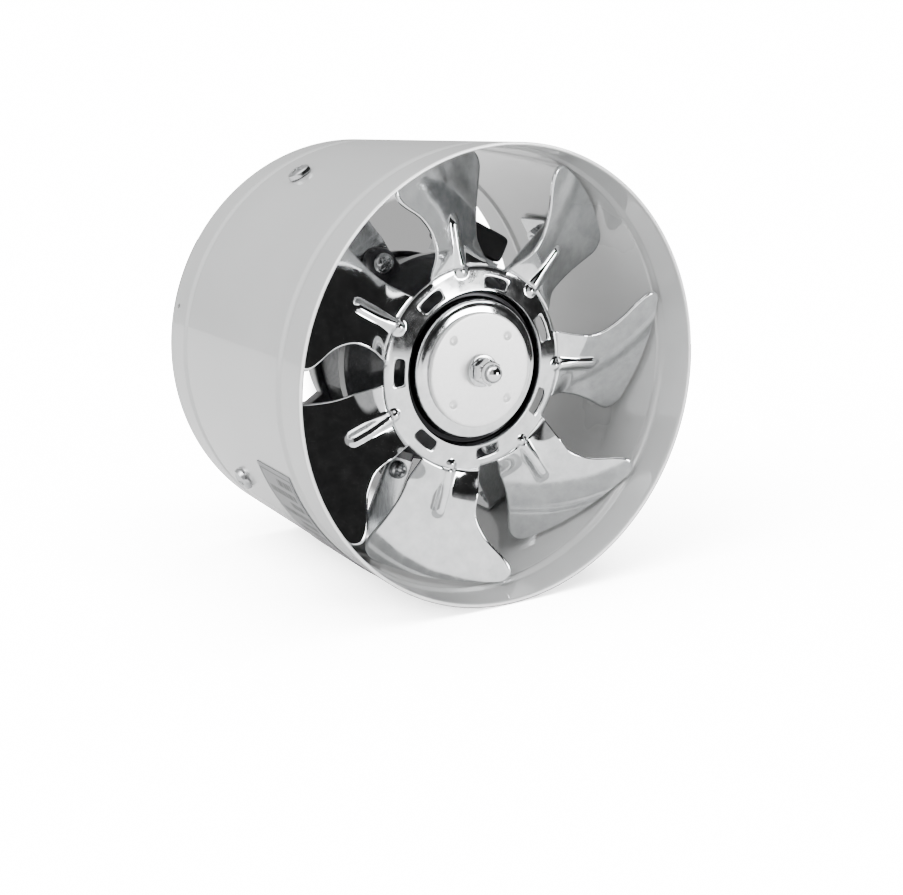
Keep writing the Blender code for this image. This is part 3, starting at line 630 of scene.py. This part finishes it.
# %% [markdown]
# ## Hub plate, washer and acorn nut
# A zinc plated disc covers the middle of the impeller and is spot welded to it at four places. Each weld
# leaves a round dimple where the electrode pressed. A plain washer and a chromed acorn nut hold the
# impeller on the shaft. The nut's corners are cut back by a cone, which gives each flat its curved top
# edge.

# %% Hub plate with its four weld dimples
WELD_CIRCLE, WELD_DEEP = 15.0, 0.7


def build_hub_plate(around=240):
    """A disc whose front depth has a smooth dimple at each weld, and a flat back."""
    radius = np.concatenate([[2.8], np.linspace(3.0, 12, 8), np.linspace(12.4, 17.6, 20), [18.3, 18.9]])
    rim = np.array([(19.2, 19.28), (19.4, 19.6), (19.4, 20.45), (19.2, 20.6), (2.8, 20.6)])
    depth = np.concatenate([np.full(len(radius), 19.2), rim[:, 1]])
    rows = np.concatenate([radius, rim[:, 0]])
    grid_r, grid_a = np.meshgrid(rows, np.arange(around) * 360 / around, indexing="ij")
    grid_y = np.repeat(depth[:, None], around, axis=1)
    off = np.hypot(np.radians(grid_a % 90 - 45) * WELD_CIRCLE, grid_r - WELD_CIRCLE)
    front = slice(len(radius))
    grid_y[front] += WELD_DEEP * (1 - smooth((off[front] - 0.5) / 1.1))
    points = on_axis(grid_r, grid_a, grid_y)
    faces = grid_faces(len(rows), around, True, True)
    return add_piece("hub_cover_plate", points, faces, satin_zinc, "rotor", 50)


hub_cover = build_hub_plate()
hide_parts("hub_plate", "spot_weld_1", "spot_weld_2", "spot_weld_3", "spot_weld_4")

washer_points = turned(filleted([(2.8, 17.7), (5.5, 17.7), (5.5, 18.9), (2.8, 18.9)], 0.25))
plain_washer = add_piece("plain_washer", *washer_points, bright_zinc, "rotor")
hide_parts("washer")

# %% Acorn nut
def build_acorn_nut():
    """Dome, shoulder, then a hexagon whose corners are cut by a cone at both ends."""
    dome = [(3.6 * math.sin(a), 13.1 - 3.9 * math.cos(a)) for a in np.radians(np.linspace(0, 88, 14))]
    shoulder = [(3.65, 13.2), (3.75, 13.36), (3.95, 13.42), (4.62, 13.85), (4.62, 14.0)]
    foot = [(4.62, 16.6), (4.62, 16.95), (3.95, 17.36), (2.7, 17.4), (2.7, 14.0), (0.0, 13.0)]
    body = [(4.62, 14.0 + 2.6 * part) for part in (0.25, 0.5, 0.75)]
    points, faces = turned(dome + shoulder + body + foot, 96, hexagon(8.0, 30.0))
    return add_piece("domed_nut", points, faces, chrome, "rotor", 32)


domed_nut = build_acorn_nut()
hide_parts("acorn_nut")

# %% [markdown]
# ## The motor shells
# The motor is held between two drawn steel shells. The front one is a dome with a flat nose for the
# bearing, and four ears on its flange take the tie bolts. Around the flange, the outline is the larger of
# the round flange and the ear, joined by a fillet. A soft maximum does both: the logarithm of a sum of
# exponentials.

# %% Flange outline and shells
ARMS = (57.5, 147.5, 237.5, 327.5)
EAR_CIRCLE, EAR = 40.5, 5.2


def ear_reach(off_degrees):
    """How far an ear reaches at an angle from its middle: a half circle on two parallel sides."""
    off = np.radians(np.clip(np.abs(off_degrees), 0.02, 80))  # at 0 the sides would have no end
    tip = EAR_CIRCLE * np.cos(off) + np.sqrt(np.clip(EAR**2 - (EAR_CIRCLE * np.sin(off)) ** 2, 0, None))
    side = EAR / np.sin(off)
    return np.where(EAR_CIRCLE * np.tan(off) < EAR, tip, np.minimum(side, tip + 60))


def flange_outline(angle, radius, lugs, firmness=1.6):
    """Soft maximum of a round flange and its ears. The firmer it is, the smaller the fillet between them."""
    reach = [np.full_like(angle, radius)]
    reach += [ear_reach((angle - lug + 180) % 360 - 180) for lug in lugs]
    return np.log(np.exp(firmness * (np.stack(reach) - radius)).sum(axis=0)) / firmness + radius


def shell(name, before, flange, after, lugs, around=540):
    """A turned shell: rows before its flange, rows of the flange with its ears, and rows after it."""
    angle = np.arange(around) * 360 / around
    rows = np.concatenate([before, flange, after])
    radius = np.repeat(rows[:, :1], around, axis=1)
    widest = flange[:, 0].max()
    outline = flange_outline(angle, widest, lugs)[None, :]
    radius[len(before) : len(before) + len(flange)] = outline - (widest - flange[:, :1])
    points = on_axis(radius, np.broadcast_to(angle, radius.shape), np.repeat(rows[:, 1:], around, axis=1))
    return add_piece(name, points, grid_faces(len(rows), around, True, True), motor_enamel, "casing", 40)


print("reach of an ear at its middle and 7 degrees off, mm:", ear_reach(np.array([0.0, 7.0])).round(1))

# %% Front and rear shell
STRAP = 204.0  # clock angle of the earth strap and of the fifth ear, which it is screwed to
NOSE, SWELL = (14.0, 29.4), (21.0, 17.6)  # where the dome starts, and how far it goes out and back
DOME = ((0.0, 0.04), (0.03, 0.12), (0.25, 0.22), (0.55, 0.4), (0.8, 0.63), (0.95, 0.85), (1.0, 0.96))


def front_shell():
    """The nose round the bearing, the dome as shares of its swell, the flange, and the hollow behind."""
    nose = [(5.5, 30.4), (6.0, 29.4), (13.4, 29.4)]
    dome = [(NOSE[0] + SWELL[0] * out, NOSE[1] + SWELL[1] * back) for out, back in DOME]
    body = filleted([*nose, *dome], 1.2, 5, closed=False)
    ears = np.array([(35.9, 47.1), (36.2, 47.15), (36.5, 47.5), (36.5, 51.6), (36.2, 51.85), (35.6, 51.9)])
    hollow = np.array([(31.7, 51.9), (31.7, 44.0), (25.0, 42.0), (11.3, 39.4), (11.3, 31.6), (5.5, 31.4)])
    return shell("front_motor_shell", body, ears, hollow, [*ARMS, STRAP])


def rear_shell():
    """The hollow, the flange, and a drawn cup with a boss for the rear bearing."""
    ears = np.array([(34.6, 72.7), (35.0, 72.8), (35.2, 73.1), (35.2, 77.1), (35.0, 77.4), (34.6, 77.5)])
    cup = [(33.6, 77.6), (33.4, 84.6), (27.0, 89.1), (17.0, 90.6), (14.0, 92.6), (0.0, 92.6)]
    hollow = np.array([(0.0, 90.0), (11.3, 90.0), (11.3, 83.0), (25.2, 84.0), (31.6, 80.6), (32.6, 72.7)])
    return shell("rear_motor_shell", hollow, ears, filleted(cup, 2.2, 6, closed=False), ARMS)


front_motor = front_shell()
rear_motor = rear_shell()
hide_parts("motor_front_bell")
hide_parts("motor_rear_bell")

# %% [markdown]
# ## Bent strips: the four arms and the earth strap
# Each arm is a strip 14 mm wide and 1.6 mm thick. It starts flat behind the motor's ear, slopes back and
# out, and ends as a foot along the tube. Bending leaves a radius in each fold, and blanking leaves slightly
# rounded edges.

# %% Sweep a rounded rectangle along a path
def rounded_rectangle(wide, thick, power=6.0, steps=32):
    """A superellipse: the sixth powers of the two distances, as shares of the half sizes, add up to one."""
    turn = np.arange(steps) * 2 * np.pi / steps
    c, s = np.cos(turn), np.sin(turn)
    grow = (np.abs(c) ** power + np.abs(s) ** power) ** (-1 / power)
    return np.stack([wide / 2 * c * grow, thick / 2 * s * grow], axis=1)


def directions(path):
    """Unit vectors along a path and square to it, at each point."""
    along = np.gradient(path, axis=0)
    along /= np.linalg.norm(along, axis=1)[:, None]
    return along, np.stack([-along[:, 1], along[:, 0]], axis=1)


def bent_strip(path, wide, thick):
    """Carries the section along a path of (y, z). Each end rounds off over 0.25 mm and shrinks to a point, so
    the strip is closed."""
    along, across = directions(path)
    rows = np.concatenate([[0, 0], np.arange(len(path)), [-1, -1]])
    size = np.ones(len(rows))
    size[[0, 1, -2, -1]] = (0.0, 0.94, 0.94, 0.0)
    nudge = np.zeros(len(rows))
    nudge[[2, -3]] = (0.25, -0.25)
    centre = path[rows] + along[rows] * nudge[:, None]
    section = rounded_rectangle(wide, thick)
    x = size[:, None] * section[None, :, 0]
    side = size[:, None] * section[None, :, 1]
    yz = centre[:, None, :] + side[..., None] * across[rows][:, None, :]
    points = np.concatenate([x[..., None], yz], axis=2)
    return points.reshape(-1, 3), grid_faces(len(rows), len(section), False, True)


def middle_line(corners, shift):
    """The strip's middle line: its path with a bend radius at each fold, moved sideways."""
    path = filleted(corners, [0.1] + [2.6] * (len(corners) - 2) + [0.1], 7, closed=False)
    return path + shift * directions(path)[1]


print("strip section points:", len(rounded_rectangle(14, 1.6)))

# %% Arms and strap
ARM_WIDE, ARM_THICK = 14.0, 1.6
STRAP_WIDE, STRAP_THICK = 10.0, 1.2


def foot_height(wide, thick):
    """Underside of a flat foot this wide whose two long edges stop 0.3 mm short of the round wall."""
    return math.sqrt((RADIUS - WALL) ** 2 - (wide / 2) ** 2) - 0.3 - thick


FOOT = foot_height(ARM_WIDE, ARM_THICK)
STRAP_FOOT = foot_height(STRAP_WIDE, STRAP_THICK)


def build_arms():
    """Four strips from behind the motor's ears to the tube."""
    rise = [(53.9, 33.5), (53.9, 45.7), (55.4, 48.7)]
    path = rise + [(61.5, FOOT - 2.4), (63.0, FOOT - 0.4), (65.0, FOOT), (79.0, FOOT)]
    points, faces = bent_strip(middle_line(path, ARM_THICK / 2), ARM_WIDE, ARM_THICK)
    for number, angle in enumerate(ARMS, 1):
        arm = add_piece(f"strip_arm_{number}", swing(points, angle), faces, bright_zinc, "casing")
        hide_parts(f"arm_{number}")


def build_strap():
    """A narrower strip from the front shell's fifth ear to the tube."""
    rise = [(46.8, 37.5), (46.8, STRAP_FOOT - 4.8), (47.8, STRAP_FOOT - 1.8)]
    path = rise + [(49.8, STRAP_FOOT), (62.8, STRAP_FOOT)]
    points, faces = bent_strip(middle_line(path, STRAP_THICK / 2), STRAP_WIDE, STRAP_THICK)
    strap = add_piece("earthing_strap", swing(points, STRAP), faces, bright_zinc, "casing")
    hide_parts("earth_strap")


build_arms()
build_strap()

# %% [markdown]
# ## Screws and nuts
# Pan head screws with a cross recess hold the arms to the tube, clamp the motor and earth the strap. The
# head is a low dome. The recess is a cross of two bars whose walls slope, pressed in by a punch. Both are
# one height function over the head, so the shading picks out the cross at any angle.

# %% Pan head screw and hexagon nut
def recess_bar(across, along, radius):
    """1 inside one bar of the cross, falling to 0 up its sloping walls."""
    return (1 - smooth((across - 0.3) / 0.45)) * (1 - smooth((along - 0.5 * radius) / (0.14 * radius)))


def pan_head(radius, height, shank, length, around=96):
    """Front at -height, seat at 0, shank to +length. The cross is 1.3 mm deep at its middle."""
    ring = np.linspace(0, 1, 22) * radius * 0.93
    angle = np.arange(around) * 360 / around
    r, a = np.meshgrid(ring, angle, indexing="ij")
    x, z = np.abs(r * np.sin(np.radians(a))), np.abs(r * np.cos(np.radians(a)))
    cross = np.maximum(recess_bar(x, z, radius), recess_bar(z, x, radius))
    depth = -height + 0.45 * height * (r / radius) ** 3 + 1.3 * cross
    rim = np.array([(radius * 0.99, -height * 0.35), (radius, -0.3), (radius, -0.1), (radius * 0.97, 0.0)])
    stem = np.array([(shank, 0.0), (shank, length - 0.4), (shank - 0.4, length), (0.0, length)])
    rest = np.vstack([rim, stem])
    rest_r, rest_a = np.meshgrid(rest[:, 0], angle, indexing="ij")
    rest_y = np.repeat(rest[:, 1:], around, axis=1)
    points = on_axis(np.vstack([r, rest_r]), np.vstack([a, rest_a]), np.vstack([depth, rest_y]))
    return points.reshape(-1, 3), grid_faces(len(ring) + len(rest), around, False, True)


def hexagon_nut(flats, height, bore, front):
    """A turned ring with chamfered ends whose radius is held inside six flats."""
    corner = flats / 2 / math.cos(math.pi / 6)
    side = [(flats / 2 * 0.98, 0.0), (corner, 0.35), (corner, height - 0.35), (flats / 2 * 0.98, height)]
    profile = [(bore, 0.3), (bore + 0.3, 0.0), *side, (bore + 0.3, height), (bore, height - 0.3)]
    return turned(np.array(profile) + [0.0, front], 72, hexagon(flats))


def fasten(name, cad_node, points, faces, angle):
    """Swings a fastener drawn at the top of the fan to its place, in bright zinc."""
    piece = add_piece(name, swing(points, angle), faces, bright_zinc, "casing", 32)
    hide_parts(cad_node)


def along_axis(depth, height):
    """A move for a fastener that lies along the fan's axis."""
    return lambda points: points + [0.0, depth, height]


def through_tube(height, depth=71.0):
    """A move for a fastener that goes through the tube's wall."""
    return lambda points: outwards(points, height, depth)


FASTENERS = (
    ("tube_screw", "casing_screw", pan_head(4.2, 2.4, 2.0, 7.5), through_tube(RADIUS + 0.3)),
    ("tube_nut", "casing_nut", hexagon_nut(7.0, 3.0, 1.9, 0.0), through_tube(FOOT - 0.3)),
    ("clamp_bolt", "tie_bolt", pan_head(3.8, 2.4, 2.0, 35.5), along_axis(46.8, EAR_CIRCLE)),
    ("clamp_nut", "tie_nut", hexagon_nut(7.0, 3.2, 1.9, 77.9), along_axis(0.0, EAR_CIRCLE)),
)
for number, angle in enumerate(ARMS, 1):
    for name, cad_name, (points, faces), move in FASTENERS:
        fasten(f"{name}_{number}", f"{cad_name}_{number}", move(points), faces, angle)
points, faces = pan_head(3.2, 2.0, 1.3, 5.0)
fasten("earthing_screw", "earth_screw", along_axis(45.3, 41.5)(points), faces, STRAP)

# %% [markdown]
# ## Rating label
# A thin foil label follows the tube. It carries only grey bars and a box, in place of the maker's words.
# The print is an attribute worked out on the label's own grid: rows of bars whose lengths vary, so it reads
# as small text.

# %% Label with generic print
LABEL_TURN, LABEL_DEPTH = (211.0, 249.0), (19.0, 44.0)  # its clock angles and its depths


def ink_at(angle, y):
    """1 where there is print: two title bars, rows of broken bars, and a frame line."""
    line = (angle - 213.0) / 3.4  # each line of print takes 3.4 degrees of the tube
    row, within = np.floor(line), line % 1
    stop = 30.0 + 11.0 * np.abs(np.sin(1.7 * row + 0.6))
    word = np.sin(y * 3.1 + 2.3 * row) + 0.6 * np.sin(y * 5.3 + row) > -0.75
    ink = (within > 0.2) & (within < 0.8) & (y > 21.5) & (y < stop) & word & (row > 1) & (row < 10)
    ink |= (row <= 1) & (row >= 0) & (y > 22.5) & (y < 38.0) & (within > 0.15) & (within < 0.85)
    off_y, off_a = np.abs(y - 31.5), np.abs(angle - 230)
    frame_line = (off_y < 11.75) & (off_a < 17.8) & ((off_y > 11.3) | (off_a > 17.4))
    return (ink | frame_line).astype(np.float32)


def build_label():
    """Two arcs of a fine grid, outside and inside, closed round their edges."""
    turn, depth = np.linspace(*LABEL_TURN, 261), np.linspace(*LABEL_DEPTH, 131)
    y, a = np.meshgrid(depth, turn, indexing="ij")
    outer, inner = (on_axis(np.full_like(y, RADIUS + above), a, y) for above in (0.35, 0.05))
    section = np.concatenate([outer, inner[:, ::-1]], axis=1)
    ends = [np.concatenate([side, side[:, ::-1]], axis=1) for side in (inner[:1], inner[-1:])]
    points = np.concatenate([ends[0], section, ends[1]])
    faces = grid_faces(len(points), points.shape[1], False, True)
    label = add_piece("foil_label", points, faces, foil_print(), "casing", 40)
    place = np.empty(len(label.data.vertices) * 3, np.float32)
    label.data.vertices.foreach_get("co", place)
    x, y, z = place.reshape(-1, 3).T / MM
    layer = label.data.attributes.new("ink", "FLOAT", "POINT")
    layer.data.foreach_set("value", ink_at(np.degrees(np.arctan2(x, z)) % 360, y))
    return label


def foil_print():
    """Grey foil with darker print where the ink attribute is 1."""
    made, tree, shader = finish("printed_foil_label", Roughness=0.42, Metallic=0.25)
    printed = node(tree, "ShaderNodeAttribute", {"attribute_name": "ink"}).outputs["Fac"]
    speck = noise(tree, in_millimetres(tree), 1.4, Detail=3.0)
    foil = ramp(tree, speck, [(0.3, linear("#757677")), (0.7, linear("#838485"))])
    mix = node(tree, "ShaderNodeMix", COLOUR_MIX, i0=printed, i6=foil, i7=linear("#262727"))
    tree.links.new(mix.outputs[2], shader.inputs["Base Color"])
    rough(tree, shader, speck, 0.36, 0.5)
    bump(tree, shader, speck, 0.02, 0.3)
    return made


label = build_label()
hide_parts("rating_label")

# %% [markdown]
# ## Cable grommet and run capacitor
# A rubber grommet lines the hole where the supply cord would enter. The motor's run capacitor is a moulded
# black box with rounded edges, on a small saddle over the motor.

# %% Grommet and capacitor
inner_lip, outer_lip = [(3.6, 72.2), (6.0, 72.2), (6.0, 73.4)], [(6.0, 75.4), (5.6, 77.0), (3.6, 77.0)]
profile = [*inner_lip, (4.5, 73.5), (4.5, 75.3), *outer_lip]
points, faces = turned(filleted(profile, 0.45, 5), 64)
points = swing(outwards(points * [1, -1, 1], 0.0, CABLE[1]), CABLE[0])
grommet = add_piece("rubber_grommet", points, faces, rubber, "casing", 60)
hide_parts("cable_grommet")


CAPACITOR_ENDS, CAPACITOR_HEIGHT, CAPACITOR_TURN = (47.0, 69.0), 44.5, 26.0
CAPACITOR_SECTION, CAPACITOR_EDGE = (20.0, 10.0), 1.5


def build_capacitor(around=72):
    """A superellipse section along Y, smaller near both ends so that the edges are round."""
    end = np.radians(np.linspace(0, 90, 7))
    inset, set_in = CAPACITOR_EDGE * (1 - np.sin(end)), CAPACITOR_EDGE * (1 - np.cos(end))
    y = np.concatenate([CAPACITOR_ENDS[0] + set_in, CAPACITOR_ENDS[1] - set_in[::-1]])
    wide, thick = CAPACITOR_SECTION
    section = np.stack([rounded_rectangle(wide - 2 * trim, thick - 2 * trim, 7.0, around)
                        for trim in (*inset, *inset[::-1])])
    section = np.concatenate([section[:1] * 0, section, section[-1:] * 0])
    y = np.repeat(np.concatenate([y[:1], y, y[-1:]])[:, None], around, axis=1)
    points = np.stack([section[..., 0], y, section[..., 1] + CAPACITOR_HEIGHT], axis=-1)
    faces = grid_faces(len(y), around, False, True)
    piece = add_piece("motor_capacitor", swing(points, CAPACITOR_TURN), faces, plastic, "casing", 50)
    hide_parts("run_capacitor")


build_capacitor()

# %% [markdown]
# ## Pieces that keep their CAD faces
# The stator, windings, bearings, rotor, shaft, bush and saddle are nearly hidden and their CAD faces are
# fine enough. They get their finishes only.

# %% Finishes on CAD nodes
INNER = (
    (laminations, "stator_core", "rotor_core"),
    (copper, "winding_front", "winding_rear"),
    (ground_steel, "bearing_front", "bearing_rear", "shaft", "hub_bush"),
    (bright_zinc, "capacitor_saddle"),
)
for material, *names in INNER:
    for name in names:
        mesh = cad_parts[name].data
        mesh.materials.clear()
        mesh.materials.append(material)
    print(material.name, "on", ", ".join(names))

# %% [markdown]
# ## Studio
# Bright metal shows the room. This studio is white in front and dimmer behind. A large black flag stands in
# front and to the right, and the wall in front and to the left is shaded. The blades that face the flag
# turn nearly black and the others stay white, which is what makes a mirror-bright impeller readable. The
# room is drawn by direction: `side` is the angle from straight in front towards +X, and `up` is the angle
# above the horizon. What the camera itself sees is whiter than the light, except for a grey oval of painted
# shade that shows through the open tube. The floor is a level sheet that only catches the shadow, so the
# ground stays white.

# %% Room: white in front, one black flag, one shaded wall
WHITE, DARK, BACKDROP, PAINTED_SHADE_GREY = 4.6, 0.02, 16.0, 0.5  # strengths of the light
BEHIND, SHADED = 0.16, 0.12  # shares of the white that the rear half and the shaded wall keep
FLAG_SIDE, FLAG_UP = (-0.2, 2.0, 0.25), (-0.3, 0.85, 0.1)  # from, to and softness, in radians
SHADE_SIDE, SHADE_UP = (-1.0, -0.3, 0.3), (-0.1, 0.9, 0.2)
SHADE_OVAL_SIDE, SHADE_OVAL_UP = (2.618, 0.085), (-0.175, 0.14)  # middle and half size of the grey oval of painted shade, in radians


def maths(tree, operation, a, b=0.0, c=0.0):
    """One step of arithmetic on sockets or numbers."""
    return node(tree, "ShaderNodeMath", {"operation": operation}, i0=a, i1=b, i2=c).outputs[0]


def step(tree, value, start, end, before, after):
    """A smooth change from one number to another while a value goes from `start` to `end`."""
    made = node(tree, "ShaderNodeMapRange", SMOOTHSTEP, Value=value, From_Min=start, From_Max=end,
                To_Min=before, To_Max=after)
    return made.outputs["Result"]


def blend(tree, factor, a, b):
    """One number where the factor is 0, another where it is 1."""
    return node(tree, "ShaderNodeMix", {"data_type": "FLOAT"}, i0=factor, i2=a, i3=b).outputs[0]


def zone(tree, side, up, side_range, up_range):
    """1 inside a rectangle of directions, falling to 0 over its softness outside."""
    inside = []
    for value, (low, high, soft) in ((side, side_range), (up, up_range)):
        rising = step(tree, value, low - soft, low, 0.0, 1.0)
        falling = step(tree, value, high, high + soft, 1.0, 0.0)
        inside.append(maths(tree, "MULTIPLY", rising, falling))
    return maths(tree, "MULTIPLY", *inside)


def from_oval(tree, side, up):
    """Distance from the middle of the grey oval of painted shade, where 1 is its edge."""
    offsets = [maths(tree, "MULTIPLY_ADD", value, 1 / half, -middle / half)
               for value, (middle, half) in ((side, SHADE_OVAL_SIDE), (up, SHADE_OVAL_UP))]
    place = node(tree, "ShaderNodeCombineXYZ", X=offsets[0], Y=offsets[1]).outputs[0]
    return node(tree, "ShaderNodeVectorMath", {"operation": "LENGTH"}, i0=place).outputs["Value"]


def build_room():
    """The light that reaches the fan, and apart from it what the camera sees behind the fan."""
    room = bpy.data.worlds.new("studio_room")
    bpy.context.scene.world = room
    room.use_nodes = True
    tree = room.node_tree
    where = node(tree, "ShaderNodeTexCoord").outputs["Generated"]
    axes = node(tree, "ShaderNodeSeparateXYZ", Vector=where).outputs
    side = maths(tree, "ARCTAN2", axes["X"], maths(tree, "MULTIPLY", axes["Y"], -1.0))
    up = maths(tree, "ARCSINE", axes["Z"])
    walls = step(tree, axes["Y"], -0.1, 0.6, WHITE, BEHIND * WHITE)
    shaded = spread(tree, zone(tree, side, up, SHADE_SIDE, SHADE_UP), 1.0, SHADED)
    flag = zone(tree, side, up, FLAG_SIDE, FLAG_UP)
    light = blend(tree, flag, maths(tree, "MULTIPLY", walls, shaded), DARK)
    # Painted shade: a grey oval behind the open tube, seen only by the camera and darker than the white
    # backdrop.
    seen = step(tree, from_oval(tree, side, up), 0.85, 1.05, PAINTED_SHADE_GREY, BACKDROP)
    camera_ray = node(tree, "ShaderNodeLightPath").outputs["Is Camera Ray"]
    shade = tree.nodes["Background"]
    shade.inputs["Color"].default_value = (1.0, 1.0, 1.0, 1.0)
    tree.links.new(blend(tree, camera_ray, light, seen), shade.inputs["Strength"])


build_room()
print("black flag, degrees to the side:", np.degrees(FLAG_SIDE[:2]).round())
print("black flag, degrees up:", np.degrees(FLAG_UP[:2]).round())

# %% Floor
def build_floor():
    """A level sheet of paper under the fan. It ends close by on the right, where the black flag begins."""
    y = np.linspace(-0.9, 1.5, 13)
    x = np.linspace(-1.5, 0.4, 11)
    grid_y, grid_x = np.meshgrid(y, x, indexing="ij")
    points = np.stack([grid_x, grid_y, np.full_like(grid_x, -0.0754)], axis=-1) / MM
    made, tree, shader = finish("matt_studio_paper", Roughness=0.8)
    two_tone(tree, shader, noise(tree, in_millimetres(tree), 0.02, Detail=3.0), "#e6e6e6", "#ebebeb")
    floor = add_piece("studio_floor", points, grid_faces(*grid_y.shape), made, None, 80, (0, 0, 1))
    floor.is_shadow_catcher = True


build_floor()

# %% Lamps
def lamp(name, place, aim, size, watts):
    """A square soft box that faces a point."""
    light = bpy.data.lights.new(name, "AREA")
    light.shape = "SQUARE"
    light.size = size
    light.energy = watts
    lamp_object = bpy.data.objects.new(name, light)
    bpy.context.scene.collection.objects.link(lamp_object)
    lamp_object.location = place
    lamp_object.rotation_euler = (Vector(place) - Vector(aim)).to_track_quat("Z", "Y").to_euler()


lamp("softbox_above_left", (-0.9, -0.3, 1.2), (0.0, 0.05, 0.0), 0.9, 14.0)
lamp("panel_front_right", (0.27, -0.46, 0.03), (0.0, 0.05, 0.0), 0.16, 2.4)
print("lamps ready")

# %% Camera
def build_camera(turn=math.radians(-30.25), lift=math.radians(9.82)):
    """Stands in front, to the left and a little above, with a lens of about 50 mm."""
    right = Vector((math.cos(turn), math.sin(turn), 0.0))
    back = Vector((math.sin(turn) * math.cos(lift), -math.cos(turn) * math.cos(lift), math.sin(lift)))
    up = back.cross(right)
    lens = bpy.data.cameras.new("camera")
    lens.sensor_width = 36.0
    lens.lens = 49.95
    lens.shift_x, lens.shift_y = 0.0404, -0.1135
    camera = bpy.data.objects.new("camera", lens)
    bpy.context.scene.collection.objects.link(camera)
    pose = Matrix((right, up, back)).transposed().to_4x4()
    pose.translation = Vector((-0.2244, -0.3222, 0.0791))
    camera.matrix_world = pose
    bpy.context.scene.camera = camera


build_camera()
print("camera ready")
